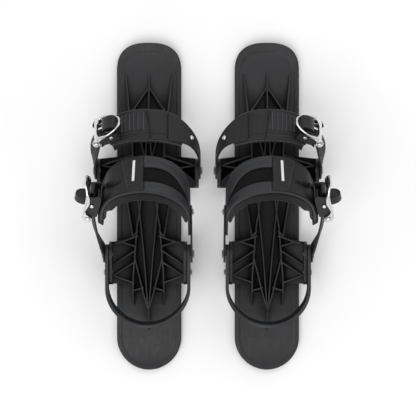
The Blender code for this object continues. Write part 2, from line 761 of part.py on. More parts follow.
LEVER_HALF_T = 1.1
ANKLE_LEVER_PATH = [
    (2.0, 16.6), (12.0, 16.7), (24.0, 16.5), (32.0, 16.6), (38.0, 17.3), (42.5, 18.8),
    (45.5, 20.8), (47.2, 23.2),
]
TOE_LEVER_PATH = [(0.5, 16.4), (8.0, 16.9), (16.0, 17.0), (24.0, 16.8), (31.0, 16.2), (36.8, 15.5)]
# extra depth of the side bars: (along, depth)
ANKLE_LEVER_SKIRT = [(2.0, 0.0), (12.0, 3.0), (24.0, 3.2), (32.0, 2.4), (38.0, 0.8), (42.5, 0.0)]
NO_SKIRT = [(0.0, 0.0)]

HUB_R, HUB_HALF = 3.1, 5.0
TOE_TAB_HUB = arc(*TAB_PIN, HUB_R, 90, 270, 6) + [
    (23.5, 5.4), (26.5, 6.4), (27.5, 10.2), (22.0, 12.0)]
ANKLE_TAB_HUB = arc(*TAB_PIN, HUB_R, 110, 270, 6) + [
    (23.5, 5.4), (26.5, 6.8), (27.5, 10.2), (24.0, 13.6), (18.0, 13.6)]
TOE_TAB_OUTLINE = [
    (23.4, 8.6), (28.0, 8.6), (31.0, 11.5), (31.6, 17.5), (29.5, 21.2), (25.0, 22.8),
    (17.5, 22.4), (13.2, 20.0), (13.6, 15.6), (19.0, 13.6), (22.9, 12.4),
]
ANKLE_TAB_ROOT = [
    (23.4, 6.6), (33.0, 7.2), (36.8, 9.0), (37.6, 11.4), (36.0, 13.6), (32.0, 14.2),
    (23.4, 14.0),
]
# the thumb piece is a D seen along the strap: (across, out) points
ANKLE_THUMB = [
    (-7.0, 12.9), (7.0, 12.9), (8.0, 16.0), (8.2, 20.0), (7.0, 24.6), (4.0, 28.2),
    (0.0, 29.6), (-4.0, 28.2), (-7.0, 24.6), (-8.2, 20.0), (-8.0, 16.0),
]
ANKLE_THUMB_SPAN = (15.2, 24.6)    # along the strap


def pin_hole(frame, place, pin_radius):
    centre = tuple(frame_point(frame, place))
    return cylinder(centre, tuple(frame.across), pin_radius + HOLE_GAP, 40, 14)


def buckle_base(frame, length):
    """Channel: floor, two cheeks and a bridge over the ladder."""
    cheek = (
        [(2.0, 0.0), (length, 0.0), (length + 1.6, 2.2), (length + 0.3, 11.5),
         (length - 2.5, 14.2), (5.0, 14.9)]
        + arc(*LEVER_PIN, 4.9, 80, 265, 7)
        + [(2.6, 5.6)]
    )
    floor = [(1.0, 0.0), (length, 0.0), (length, FLOOR_T), (1.0, FLOOR_T)]
    reach = CHEEK_IN + CHEEK_BITE
    base = union([
        prism(frame, floor, -reach, reach),
        prism(frame, cheek, CHEEK_IN, CHEEK_OUT),
        prism(frame, cheek, -CHEEK_OUT, -CHEEK_IN),
        prism(frame, BRIDGE, -reach, reach),
    ])
    return cut(base, [
        pin_hole(frame, LEVER_PIN, LEVER_PIN_R),
        pin_hole(frame, TAB_PIN, TAB_PIN_R),
    ])


def bar_sides(path, half):
    """Upper and lower side of a bar of given half thickness along a path."""
    upper, lower = [], []
    for i, point in enumerate(path):
        before = Vector(path[max(i - 1, 0)])
        after = Vector(path[min(i + 1, len(path) - 1)])
        direction = (after - before).normalized()
        normal = Vector((-direction.y, direction.x))
        upper.append(tuple(Vector(point) + normal * half))
        lower.append(tuple(Vector(point) - normal * half))
    return upper, lower


def bar_outline(path, start, end, half):
    """Closed outline of the bar between two places along the path."""
    inside = [p for p in path if start + 0.5 < p[0] < end - 0.5]
    points = [(start, interp(start, path))] + inside + [(end, interp(end, path))]
    upper, lower = bar_sides(points, half)
    return upper + lower[::-1]


def buckle_lever(frame, path, opening, opening_half, skirt):
    """Lever with an ear and side bar on each side of an opening, which runs
    between two places along the path."""
    upper, lower = bar_sides(path, LEVER_HALF_T)
    lower = [(a, c - interp(a, skirt)) for a, c in lower]
    ear = arc(*LEVER_PIN, 4.6, 120, 340, 7)
    (first, first_out), last = path[0], path[-1][0]
    rail = upper[::-1] + ear + [(first + 6.0, first_out - 1.6)] + lower[1:]
    # each layer is slightly thinner and narrower than the one it joins
    side_bar = bar_outline(path, first, last, LEVER_HALF_T - 0.02)
    side_edge, cross_edge = EAR_OUT - 0.4, EAR_OUT - 0.6
    parts = [
        prism(frame, rail, EAR_IN, EAR_OUT),
        prism(frame, rail, -EAR_OUT, -EAR_IN),
        prism(frame, side_bar, opening_half, side_edge),
        prism(frame, side_bar, -side_edge, -opening_half),
    ]
    for start, end in ((first, opening[0]), (opening[1], last)):
        cross_bar = bar_outline(path, start, end, LEVER_HALF_T - 0.05)
        parts.append(prism(frame, cross_bar, -cross_edge, cross_edge))
    return cut(union(parts), [pin_hole(frame, LEVER_PIN, LEVER_PIN_R)])


def buckle_tab(frame, hub, outline, half, thumb=None):
    """Release tab: a hub with a pawl on the tab pin and the thumb piece."""
    parts = [prism(frame, hub, -HUB_HALF, HUB_HALF), prism(frame, outline, -half, half)]
    if thumb:
        lengthwise = Frame(frame.origin, frame.across, frame.along, frame.out)
        parts.append(prism(lengthwise, thumb, *ANKLE_THUMB_SPAN))
    return cut(union(parts), [pin_hole(frame, TAB_PIN, TAB_PIN_R)])


def headed_pin(frame, place, radius, half_span, cap, rim, crown, sides):
    """Pin across a buckle with a low head of height cap on both ends."""
    profile = [
        (-half_span - cap, crown), (-half_span, rim), (-half_span, radius),
        (half_span, radius), (half_span, rim), (half_span + cap, crown),
    ]
    return turned(tuple(frame_point(frame, place)), tuple(frame.across), profile, sides)


def lever_pin(frame):
    return headed_pin(frame, LEVER_PIN, LEVER_PIN_R, EAR_OUT + GAP,
                      cap=1.4, rim=3.3, crown=3.0, sides=12)


def tab_pin(frame):
    # its heads stay low, between the cheeks and the lever's side bars
    return headed_pin(frame, TAB_PIN, TAB_PIN_R, CHEEK_OUT + 0.3,
                      cap=0.9, rim=2.4, crown=2.2, sides=10)


SPRING_TURNS, SPRING_SEGMENTS = 2.5, 9
SPRING_WIRE_R, SPRING_R = 0.45, 2.75
SPRING_START, SPRING_LENGTH = 6.1, 3.4


def tab_spring(frame):
    """Torsion coil round the tab pin between the hub and a cheek."""
    _, along, across, out = frame
    middle = frame_point(frame, TAB_PIN)
    steps = int(SPRING_TURNS * SPRING_SEGMENTS)
    rings = []
    for k in range(steps + 1):
        a = 2 * math.pi * k / SPRING_SEGMENTS
        radial = along * math.cos(a) + out * math.sin(a)
        offset = SPRING_START + SPRING_LENGTH * k / steps
        centre = middle + radial * SPRING_R + across * offset
        ring = []
        for j in range(4):
            g = 2 * math.pi * j / 4
            ring.append(tuple(
                centre
                + radial * (SPRING_WIRE_R * math.cos(g))
                + across * (SPRING_WIRE_R * math.sin(g))
            ))
        rings.append(ring)
    return loft(rings)


# ------------------------------------------------------------------- ladders
LADDER_HALF = 9.4
LADDER_T = STRAP_T
LADDER_LIFT = FLOOR_T + GAP
LADDER_ENTRY = 0.5          # where the straight run in the buckle starts
LADDER_END_SHORT = 4.0      # stops this much short of the buckle's length
LADDER_LUG = (-10.5, -9.5, -7.0, -3.5, 0.0, 4.0, 8.0)    # stations about the axis
FREE_STEPS, BUCKLE_STEPS = 16, 8
# Lengths along the ladder from its lug end.
TAPER_START, TAPER_END = 12.0, 21.0
TEETH_START, TOOTH_PITCH, TOOTH = 24.0, 5.2, 0.9


def bezier(p0, p1, p2, p3, t):
    m = 1 - t
    return p0 * (m**3) + p1 * (3 * m * m * t) + p2 * (3 * m * t * t) + p3 * (t**3)


def ladder_course(frame, start, up, length_in, pull_start, pull_end, bulge):
    """Centre line as (point, blend): blend is 0 at the lug, 1 in the buckle."""
    course = [(start + up * d, 0.0) for d in LADDER_LUG]
    p0 = start + up * LADDER_LUG[-1]
    p3 = frame_point(frame, (LADDER_ENTRY, LADDER_LIFT + LADDER_T / 2))
    p1 = p0 + up * pull_start + Vector((-bulge, 0, 0))
    p2 = p3 - frame.along * pull_end
    for k in range(1, FREE_STEPS + 1):
        course.append((bezier(p0, p1, p2, p3, k / FREE_STEPS), k / FREE_STEPS))
    for k in range(1, BUCKLE_STEPS + 1):
        distance = (length_in - LADDER_END_SHORT) * k / BUCKLE_STEPS
        course.append((p3 + frame.along * distance, 1.0))
    return course


def ladder_marks(lengths):
    """Sections as (length along the ladder, tooth height)."""
    total = lengths[-1]
    marks = [(length, 0.0) for length in lengths if length < TEETH_START]
    length = TEETH_START
    while length < total - 8.0:
        marks += [(length, 0.0), (length + 0.7, TOOTH), (length + 3.4, TOOTH * 0.6)]
        length += TOOTH_PITCH
    return marks + [(total - 3.0, 0.0), (total, 0.0)]


def ladder_half(length, total):
    if length > total - 1.0:
        return LADDER_HALF - 3.0
    if length > TAPER_END:
        return LADDER_HALF
    if length > TAPER_START:
        share = (length - TAPER_START) / (TAPER_END - TAPER_START)
        return LUG_RADIUS + (LADDER_HALF - LUG_RADIUS) * share
    return lug_half(length, 0.0, LUG_RADIUS, LUG_RADIUS)


def ladder(frame, pivot, half_span, direction, across, length_in,
           pull_start, pull_end, bulge, twist):
    """Toothed strap from its pivot lug into the buckle. The pulls are the
    reach of the curve's handles and bulge pushes it outwards; twist turns the
    free middle so that its toothed face looks partly up. direction and across
    are (y, z) at the lug."""
    x = -(half_span + STRAP_MID)
    start = Vector((x, *pivot))
    course = ladder_course(frame, start, Vector((0, *direction)), length_in,
                           pull_start, pull_end, bulge)
    points = [point for point, _ in course]
    blends = [blend for _, blend in course]
    lengths = [0.0]
    for near, far in zip(points[:-1], points[1:]):
        lengths.append(lengths[-1] + (far - near).length)
    across_start = Vector((0, *across)).normalized()
    half_t = LADDER_T / 2
    rings = []
    for length, tooth in ladder_marks(lengths):
        i = max(0, min(len(points) - 2, int(np.searchsorted(lengths, length)) - 1))
        k = (length - lengths[i]) / (lengths[i + 1] - lengths[i])
        point = points[i].lerp(points[i + 1], k)
        blend = blends[i] + (blends[i + 1] - blends[i]) * k
        along = (points[i + 1] - points[i]).normalized()
        turn = Vector((-twist * math.sin(math.pi * blend**1.2), 0, 0))
        side = across_start.lerp(frame.across, blend) + turn
        side = (side - along * side.dot(along)).normalized()
        out = side.cross(along).normalized()
        # the teeth face away from the foot
        if out.dot(Vector((-1, 0, 0.2))) < 0:
            out = -out
        half = ladder_half(length, lengths[-1])
        rings.append([
            tuple(point + side * half - out * half_t),
            tuple(point + side * half + out * (half_t + tooth)),
            tuple(point - side * half + out * (half_t + tooth)),
            tuple(point - side * half - out * half_t),
        ])
    return cut(loft(rings), [side_hole(x, pivot, BOLT_R, 8)])


# ------------------------------------------------------------------ fasteners
HEAD_RIM = 0.9              # height of a head's cylindrical rim


def button_profile(tip, tip_radius, tip_length, shaft_radius, seat, head_radius,
                   crown_radius, head_height=1.6):
    """Profile of a bolt whose head starts at seat."""
    return [
        (tip, tip_radius), (tip + tip_length, shaft_radius), (seat, shaft_radius),
        (seat, head_radius), (seat + HEAD_RIM, head_radius), (seat + head_height, crown_radius),
    ]


def adjust_screw(station, q, head_radius):
    """Screw through a strap and its shell, along the band's outward axis."""
    centre, _, _, out = station(q)
    profile = button_profile(
        tip=0.3, tip_radius=0.9, tip_length=0.0, shaft_radius=SCREW_R, seat=STRAP_TOP + GAP,
        head_radius=head_radius, crown_radius=head_radius - 0.9, head_height=1.5)
    return turned(tuple(centre), tuple(out), profile, 10)


def pivot_bolt(side, pivot, half_span, inner):
    """Button-head bolt along X: its head sits just off the strap's outer face."""
    profile = button_profile(
        tip=inner - 0.8, tip_radius=1.6, tip_length=0.8, shaft_radius=BOLT_R,
        seat=half_span + STRAP_TOP + GAP, head_radius=5.0, crown_radius=3.2)
    return turned((0, *pivot), (side, 0, 0), profile, 12)


def hoop_screw(side):
    profile = button_profile(
        tip=RAIL_IN - 0.6, tip_radius=0.9, tip_length=0.6, shaft_radius=SCREW_R,
        seat=HOOP_OUT + GAP, head_radius=3.8, crown_radius=2.4)
    return turned((0, *HOOP_SCREW), (side, 0, 0), profile, 10)


# ------------------------------------------------------------------ materials
FINISHES = {
    "plastic": dict(colour=(0.047, 0.048, 0.052, 1.0), roughness=0.55, metallic=0.0),
    "strap": dict(colour=(0.030, 0.031, 0.034, 1.0), roughness=0.45, metallic=0.0),
    "foam": dict(colour=(0.022, 0.022, 0.024, 1.0), roughness=0.85, metallic=0.0),
    "silver": dict(colour=(0.72, 0.73, 0.75, 1.0), roughness=0.22, metallic=1.0),
    "steel": dict(colour=(0.80, 0.80, 0.82, 1.0), roughness=0.3, metallic=1.0),
}


def material(name, colour, roughness, metallic):
    mat = bpy.data.materials.new(name)
    mat.use_nodes = True
    shader = mat.node_tree.nodes["Principled BSDF"]
    shader.inputs["Base Color"].default_value = colour
    shader.inputs["Roughness"].default_value = roughness
    shader.inputs["Metallic"].default_value = metallic
    mat.diffuse_color = colour
    return mat


# ------------------------------------------------------------------- assembly
def place(temp, name, finish, pivot, mirror):
    """Final object of a piece, its origin at a pivot point, in metres."""
    bm = bmesh.new()
    bm.from_mesh(temp.data)
    shift = Vector((-SKI_OFFSET * MM, 0, 0))
    origin = Vector(pivot) * MM + shift
    for v in bm.verts:
        v.co = v.co + shift - origin
    if mirror:
        for v in bm.verts:
            v.co.x = -v.co.x
        origin.x = -origin.x
        bmesh.ops.reverse_faces(bm, faces=bm.faces)
    mesh = bpy.data.meshes.new(name)
    bm.to_mesh(mesh)
    bm.free()
    mesh.shade_smooth()
    mesh.set_sharp_from_angle(angle=RAD(30))
    mesh.materials.append(material(name + "_finish", **FINISHES[finish]))
    ob = bpy.data.objects.new(name, mesh)
    ob.location = origin
    bpy.context.scene.collection.objects.link(ob)


def buckle_pieces(strap, axis, frame, base, lever, tab, ladder_strap):
    """A strap's buckle and ladder, as entries of pieces()."""
    lever_axis = tuple(frame_point(frame, LEVER_PIN))
    tab_axis = tuple(frame_point(frame, TAB_PIN))
    yield strap + "_buckle_base", base, "plastic", axis
    yield strap + "_buckle_lever", lever, "silver", lever_axis
    yield strap + "_buckle_tab", tab, "plastic", tab_axis
    yield strap + "_lever_pin", lever_pin(frame), "steel", lever_axis
    yield strap + "_tab_pin", tab_pin(frame), "steel", tab_axis
    yield strap + "_tab_spring", tab_spring(frame), "steel", tab_axis
    yield strap + "_ladder", ladder_strap, "strap", axis


def toe_pieces():
    axis = (0.0, *TOE_PIVOT)
    frame = toe_buckle_frame()
    tilt = RAD(TOE_ANGLE_SIDE)
    yield "toe_connector", toe_connector(), "strap", axis
    yield "toe_pad", toe_pad(), "foam", axis
    yield "toe_shell", toe_shell(), "strap", axis
    yield "toe_adjust_screw", adjust_screw(toe_station, TOE_SCREW_Q, 3.0), "steel", axis
    yield from buckle_pieces(
        "toe", axis, frame,
        base=buckle_base(frame, TOE_BUCKLE_LENGTH),
        lever=buckle_lever(frame, TOE_LEVER_PATH, opening=(4.6, 33.0), opening_half=10.8,
                           skirt=NO_SKIRT),
        tab=buckle_tab(frame, TOE_TAB_HUB, TOE_TAB_OUTLINE, half=8.6),
        ladder_strap=ladder(
            frame, TOE_PIVOT, TOE_HALF_SPAN, TOE_DIRECTION, (math.cos(tilt), math.sin(tilt)),
            TOE_BUCKLE_LENGTH, pull_start=9.0, pull_end=11.0, bulge=2.5, twist=0.5),
    )


def ankle_pieces():
    axis = (0.0, *ANKLE_PIVOT)
    frame = ankle_buckle_frame()
    yield "ankle_connector", ankle_connector(), "strap", axis
    yield "ankle_pad", ankle_pad(), "foam", axis
    yield "ankle_shell", ankle_shell(), "strap", axis
    yield "ankle_adjust_screw", adjust_screw(ankle_station, ANKLE_SCREW_Q, 3.6), "steel", axis
    yield from buckle_pieces(
        "ankle", axis, frame,
        base=buckle_base(frame, ANKLE_BUCKLE_LENGTH),
        lever=buckle_lever(frame, ANKLE_LEVER_PATH, opening=(12.6, 41.4), opening_half=10.6,
                           skirt=ANKLE_LEVER_SKIRT),
        tab=buckle_tab(frame, ANKLE_TAB_HUB, ANKLE_TAB_ROOT, half=8.0, thumb=ANKLE_THUMB),
        ladder_strap=ladder(
            frame, ANKLE_PIVOT, ANKLE_RADIUS, ANKLE_DIRECTION,
            (ANKLE_DIRECTION[1], -ANKLE_DIRECTION[0]),
            ANKLE_BUCKLE_LENGTH, pull_start=24.0, pull_end=22.0, bulge=6.5, twist=0.34),
    )


def pieces():
    """Name, solid, finish and origin of every piece of one ski."""
    yield "ski_body", ski_body(), "plastic", (0, 0, 0)
    yield "heel_hoop", heel_hoop(), "plastic", (0, HOOP_BEND_Y, HOOP_Z)
    for label, side in (("medial", 1), ("lateral", -1)):
        ankle_bolt = pivot_bolt(side, ANKLE_PIVOT, ANKLE_RADIUS, RAIL_IN)
        toe_bolt = pivot_bolt(side, TOE_PIVOT, TOE_HALF_SPAN, WALL_IN)
        yield "hoop_screw_" + label, hoop_screw(side), "steel", (side * HOOP_OUT, *HOOP_SCREW)
        yield "ankle_bolt_" + label, ankle_bolt, "steel", (side * HOOP_OUT, *ANKLE_PIVOT)
        yield "toe_bolt_" + label, toe_bolt, "steel", (side * WALL_OUT, *TOE_PIVOT)
    yield from toe_pieces()
    yield from ankle_pieces()


def main():
    clear_scene()
    built = list(pieces())
    for name, temp, finish, pivot in built:
        place(temp, "left_" + name, finish, pivot, mirror=False)
        place(temp, "right_" + name, finish, pivot, mirror=True)
    for _, temp, _, _ in built:
        drop(temp)


main()
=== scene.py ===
"""Looks of the pair of strap-on ski-skates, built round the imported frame.

Every piece is shaped in the ski's own millimetre frame (x towards the middle
of the pair, y to the tip, z up), placed on the left ski and mirrored onto the
right one. Places come from the frame's joints and boxes.
"""

import json
import math
from functools import reduce
from itertools import accumulate

import bmesh
import bpy
import numpy as np
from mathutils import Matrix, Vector


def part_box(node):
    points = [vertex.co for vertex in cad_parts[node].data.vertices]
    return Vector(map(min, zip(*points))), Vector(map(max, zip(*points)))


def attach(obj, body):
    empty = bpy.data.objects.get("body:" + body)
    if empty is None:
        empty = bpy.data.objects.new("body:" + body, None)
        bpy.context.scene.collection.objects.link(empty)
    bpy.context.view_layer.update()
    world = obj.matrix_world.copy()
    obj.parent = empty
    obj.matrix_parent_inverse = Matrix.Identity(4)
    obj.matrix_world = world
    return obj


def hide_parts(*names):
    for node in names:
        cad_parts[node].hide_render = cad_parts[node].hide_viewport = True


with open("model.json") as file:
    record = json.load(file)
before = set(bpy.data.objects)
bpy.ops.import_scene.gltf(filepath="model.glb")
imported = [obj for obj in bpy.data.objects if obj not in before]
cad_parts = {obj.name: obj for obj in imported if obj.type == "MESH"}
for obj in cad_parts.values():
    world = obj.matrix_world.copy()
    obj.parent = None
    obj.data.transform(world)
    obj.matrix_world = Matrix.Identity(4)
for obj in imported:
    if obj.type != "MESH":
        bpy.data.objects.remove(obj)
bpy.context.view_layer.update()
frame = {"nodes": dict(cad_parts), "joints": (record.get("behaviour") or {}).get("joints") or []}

MM = 0.001
RAD = math.radians
JOINTS = {j["name"]: j for j in frame["joints"]}
SKI_LO, SKI_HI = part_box("left_ski_body")
SPACING = -JOINTS["left_toe_swing"]["pos_m"][0] / MM  # from the pair's middle to a ski's


def joint_place(name):
    x, y, z = JOINTS[name]["pos_m"]
    return Vector((x / MM + SPACING, y / MM, z / MM))


# ------------------------------------------------- dimensions, in millimetres
HALF_LENGTH = (SKI_HI.y - SKI_LO.y) / MM / 2
HALF_WIDTH = 39.4
TIP_START, TAIL_START = 165.0, -160.6  # where the outline starts to narrow
DECK_THICK, TIP_THICK = 8.6, 5.0
TIP_RISE, TAIL_RISE = 10.0, 4.0
BORDER, BORDER_STEP = 5.0, 0.45
RIB_TOP, RIB_WIDTH, RIB_FOOT = 28.0, 2.4, 5.2

# (y, z) of the pivots and of the toe strap's top
TOE_PIVOT = tuple(joint_place("left_toe_swing"))[1:]
ANKLE_PIVOT = tuple(joint_place("left_ankle_swing"))[1:]
TOE_TOP = (94.5, 83.5)
TOE_LENGTH = math.hypot(TOE_TOP[0] - TOE_PIVOT[0], TOE_TOP[1] - TOE_PIVOT[1])
TOE_UP = tuple((top - pivot) / TOE_LENGTH for top, pivot in zip(TOE_TOP, TOE_PIVOT))
TOE_HALF_SPAN, TOE_EXPONENT, TOE_STRAIGHT = 58.8, 2.35, 12.0
TOE_ANGLE_SIDE, TOE_ANGLE_TOP = -53.0, -23.5  # tilt of the strap's width
ANKLE_UP = (0.669, 0.743)
ANKLE_RADIUS, ANKLE_HEIGHT = 49.0, 133.5
ANKLE_LEG = ANKLE_HEIGHT - ANKLE_RADIUS
ANKLE_ARC = math.pi * ANKLE_RADIUS
ANKLE_RUN = 2 * ANKLE_LEG + ANKLE_ARC

SHELL_T, GAP, PAD_T, STRAP_T = 2.2, 0.35, 6.6, 2.1  # thicknesses, and play between parts
LIFT = SHELL_T + GAP
PATCH_RISE = 0.42
# near and far faces of upright parts, from the ski's middle plane
RAIL_IN, RAIL_OUT = 42.8, 46.8
HOOP_IN, HOOP_OUT = 47.15, 51.15
WALL_IN, WALL_OUT = 56.8, 61.0
RAIL_MID, HOOP_MID, WALL_MID = (RAIL_IN + RAIL_OUT) / 2, (HOOP_IN + HOOP_OUT) / 2, (WALL_IN + WALL_OUT) / 2
BOLT_R, SCREW_R, HOLE_GAP = 2.8, 1.9, 0.35
HOOP_SCREW = (-79.0, 36.0)

# Buckles, in the buckle's own frame: (forward, up) places, half-widths along the axle
LADDER_HALF, LADDER_LIFT, LADDER_T, TOOTH = 9.4, 1.95, 2.1, 0.9
LUG_R = 10.4
CHEEK_IN, CHEEK_OUT = 10.6, 12.8
EAR_IN, EAR_OUT = 13.15, 15.4
LEVER_PIN, TAB_PIN, LEVER_PIN_R = (-1.5, 10.1), (19.3, 9.0), 2.0
TAB_PIN_R = LEVER_PIN_R - 0.4
ANKLE_BUCKLE_LENGTH, TOE_BUCKLE_LENGTH = 33.5, 27.0


# ------------------------------------------------------------ mesh utilities
def link(ob):
    bpy.context.scene.collection.objects.link(ob)
    return ob


def mesh_object(points, faces, band=None):
    """A temporary object from millimetre points. band holds a per-point place
    along and across a strap, and a tone or offset, for the materials."""
    me = bpy.data.meshes.new("tmp")
    me.from_pydata([(p[0] * MM, p[1] * MM, p[2] * MM) for p in points], [], faces)
    if band is not None:
        attribute = me.attributes.new("band", "FLOAT_VECTOR", "POINT")
        attribute.data.foreach_set("vector", np.array(band, np.float32).ravel())
    bm = bmesh.new()
    bm.from_mesh(me)
    loose = [v for v in bm.verts if not v.link_faces]
    if loose:
        bmesh.ops.delete(bm, geom=loose, context="VERTS")
    bmesh.ops.recalc_face_normals(bm, faces=bm.faces)
    bm.to_mesh(me)
    bm.free()
    return link(bpy.data.objects.new("tmp", me))


def drop(ob):
    me = ob.data
    bpy.data.objects.remove(ob, do_unlink=True)
    if me.users == 0:
        bpy.data.meshes.remove(me)


def baked(ob):
    """The object with its modifiers applied, in its place."""
    bpy.context.view_layer.update()
    graph = bpy.context.evaluated_depsgraph_get()
    me = bpy.data.meshes.new_from_object(ob.evaluated_get(graph))
    drop(ob)
    return link(bpy.data.objects.new("tmp", me))


def combine(base, others, operation):
    group = bpy.data.collections.new("operands")
    bpy.context.scene.collection.children.link(group)
    for other in others:
        group.objects.link(other)
    boolean = base.modifiers.new("bool", "BOOLEAN")
    boolean.operation, boolean.solver = operation, "EXACT"
    boolean.operand_type, boolean.collection = "COLLECTION", group
    boolean.use_self = operation == "UNION"
    result = baked(base)
    for other in others:
        drop(other)
    bpy.data.collections.remove(group)
    bm = bmesh.new()
    bm.from_mesh(result.data)
    bmesh.ops.remove_doubles(bm, verts=bm.verts, dist=4e-7)
    bmesh.ops.dissolve_degenerate(bm, edges=bm.edges, dist=4e-7)
    bmesh.ops.recalc_face_normals(bm, faces=bm.faces)
    bm.to_mesh(result.data)
    bm.free()
    return result


def union(parts):
    return combine(parts[0], parts[1:], "UNION")


def cut(base, cutters):
    return combine(base, cutters, "DIFFERENCE")


def merge(parts, keep_band=True):
    """Several closed banded bodies in one mesh."""
    points, faces, band = [], [], []
    for part in parts:
        base = len(points)
        points += [tuple(v.co / MM) for v in part.data.vertices]
        faces += [tuple(base + i for i in face.vertices) for face in part.data.polygons]
        band += [tuple(item.vector) for item in part.data.attributes["band"].data]
        drop(part)
    return mesh_object(points, faces, band if keep_band else None)


def loft(rings, bands=None):
    """Closed solid through equal rings of points."""
    size = len(rings[0])
    last = (len(rings) - 1) * size
    faces = []
    for i in range(0, last, size):
        for j in range(size):
            k = (j + 1) % size
            faces.append((i + j, i + k, i + size + k, i + size + j))
    faces.append(tuple(range(size))[::-1])
    faces.append(tuple(range(last, last + size)))
    points = [p for ring in rings for p in ring]
    return mesh_object(points, faces, [p for row in bands for p in row] if bands else None)


def soften(points, keep, closed=True):
    """An outline with its corners cut twice."""
    for _ in range(2):
        ahead = points[1:] + points[:1] if closed else points[1:]
        out = [tuple(a + (b - a) * part for a, b in zip(here, there))
               for here, there in zip(points, ahead) for part in (keep, 1 - keep)]
        points = out if closed else [points[0], *out, points[-1]]
    return points


def inset_outline(outline, inset):
    count = len(outline)
    area = sum(a[0] * b[1] - b[0] * a[1] for a, b in zip(outline, outline[1:] + outline[:1]))
    turn = 1 if area > 0 else -1
    out = []
    for i in range(count):
        before, here, after = (Vector(outline[k % count]) for k in (i - 1, i, i + 1))
        edge_in, edge_out = here - before, after - here
        if min(edge_in.length, edge_out.length) < 1e-9:
            out.append(tuple(here))
            continue
        edge_in.normalize()
        edge_out.normalize()
        normal = Vector((-edge_in.y, edge_in.x)) * turn
        bisector = Vector((-edge_in.y - edge_out.y, edge_in.x + edge_out.x)) * turn
        size = bisector.length
        bisector = bisector / size if size > 1e-6 else normal
        out.append(tuple(here + bisector * (inset / max(0.5, bisector.dot(normal)))))
    return out


def prism(axes, outline, low, high, rim, steps=3):
    """Outline in the first and last axes, swept along the middle one. Each end
    face is sunk by rim and joined to the full outline by a slope."""
    origin, first, middle, last = axes

    def ring(place, inset):
        points = inset_outline(outline, inset) if inset > 1e-6 else outline
        return [tuple(origin + first * p[0] + middle * place + last * p[1]) for p in points]

    insets = [rim * (1 - math.sin(k / steps * math.pi / 2)) for k in range(steps + 1)]
    return loft([ring(low + inset, inset) for inset in insets]
                + [ring(high - inset, inset) for inset in reversed(insets)])


def turned(origin, axis, profile, sides=36, socket=False):
    """Solid of revolution through (place, radius) points. With a socket, the
    last two rings are hexagonal."""
    axis = Vector(axis).normalized()
    first = axis.orthogonal().normalized()
    second = axis.cross(first)
    origin = Vector(origin)
    rings = []
    for i, (place, radius) in enumerate(profile):
        ring = []
        for k in range(sides):
            angle = 2 * math.pi * k / sides
            reach = radius
            if socket and i >= len(profile) - 2:
                from_flat = angle % (math.pi / 3) - math.pi / 6
                reach = radius * math.cos(math.pi / 6) / math.cos(from_flat)
            spoke = first * math.cos(angle) + second * math.sin(angle)
            ring.append(tuple(origin + axis * place + spoke * reach))
        rings.append(ring)
    return loft(rings)


def cylinder(centre, axis, radius, length, sides=28):
    return turned(centre, axis, [(-length / 2, radius), (length / 2, radius)], sides)


def side_hole(x, pivot, radius, length=8):
    """Cutter along x for a bolt or screw at a (y, z) place."""
    return cylinder((x, *pivot), (1, 0, 0), radius + HOLE_GAP, length)


# -------------------------------------------------------------- shape curves
def spline(points):
    """Catmull-Rom curve through (place, value) points, level beyond its ends."""
    last = len(points) - 1

    def slope(k):
        (x0, y0), (x1, y1) = points[max(k - 1, 0)], points[min(k + 1, last)]
        return (y1 - y0) / (x1 - x0)

    def curve(x):
        if x <= points[0][0]:
            return points[0][1]
        if x >= points[-1][0]:
            return points[-1][1]
        i = max(k for k in range(last) if points[k][0] <= x)
        (x0, y0), (x1, y1) = points[i : i + 2]
        span = x1 - x0
        part = (x - x0) / span
        start, end = slope(i) * span, slope(i + 1) * span
        return ((2 * part**3 - 3 * part * part + 1) * y0
                + (part**3 - 2 * part * part + part) * start
                + (-2 * part**3 + 3 * part * part) * y1 + (part**3 - part * part) * end)

    return curve


def by_degrees(*points):
    return [(RAD(angle), value) for angle, value in points]


def ramp(start, end, x):
    """Smooth step from 0 at start to 1 at end, which may lie below start."""
    part = max(0.0, min(1.0, (x - start) / (end - start)))
    return part * part * (3 - 2 * part)


def plateau(x, start, full, full_end, end):
    """Smooth rise to 1 between start and full, and fall between full_end and end."""
    return ramp(start, full, x) * ramp(end, full_end, x)


def hill(x, centre, half):
    """A smooth hump, 1 at its centre and 0 from half on."""
    part = abs(x - centre) / half
    return 0.0 if part >= 1 else (1 - part * part) ** 2


def edge_drop(dist, radius):
    """How far an edge of this radius falls at a distance from the edge."""
    if dist >= radius:
        return 0.0
    dist = max(dist, 0.0)
    return radius - math.sqrt(max(0.0, radius * radius - (radius - dist) ** 2))


def taper(x, start, reach, power, root):
    """1 up to start, then falling to 0 at start + reach."""
    return max(0.0, 1 - max(0.0, (x - start) / reach) ** power) ** (1 / root)


def run_lengths(points):
    steps = ((b - a).length for a, b in zip(points[:-1], points[1:]))
    return list(accumulate(steps, initial=0.0))


def find_stretch(runs, x):
    """The stretch of a polyline that a length falls on, and how far along it."""
    i = max(0, min(len(runs) - 2, int(np.searchsorted(runs, x)) - 1))
    return i, (x - runs[i]) / max(1e-9, runs[i + 1] - runs[i])


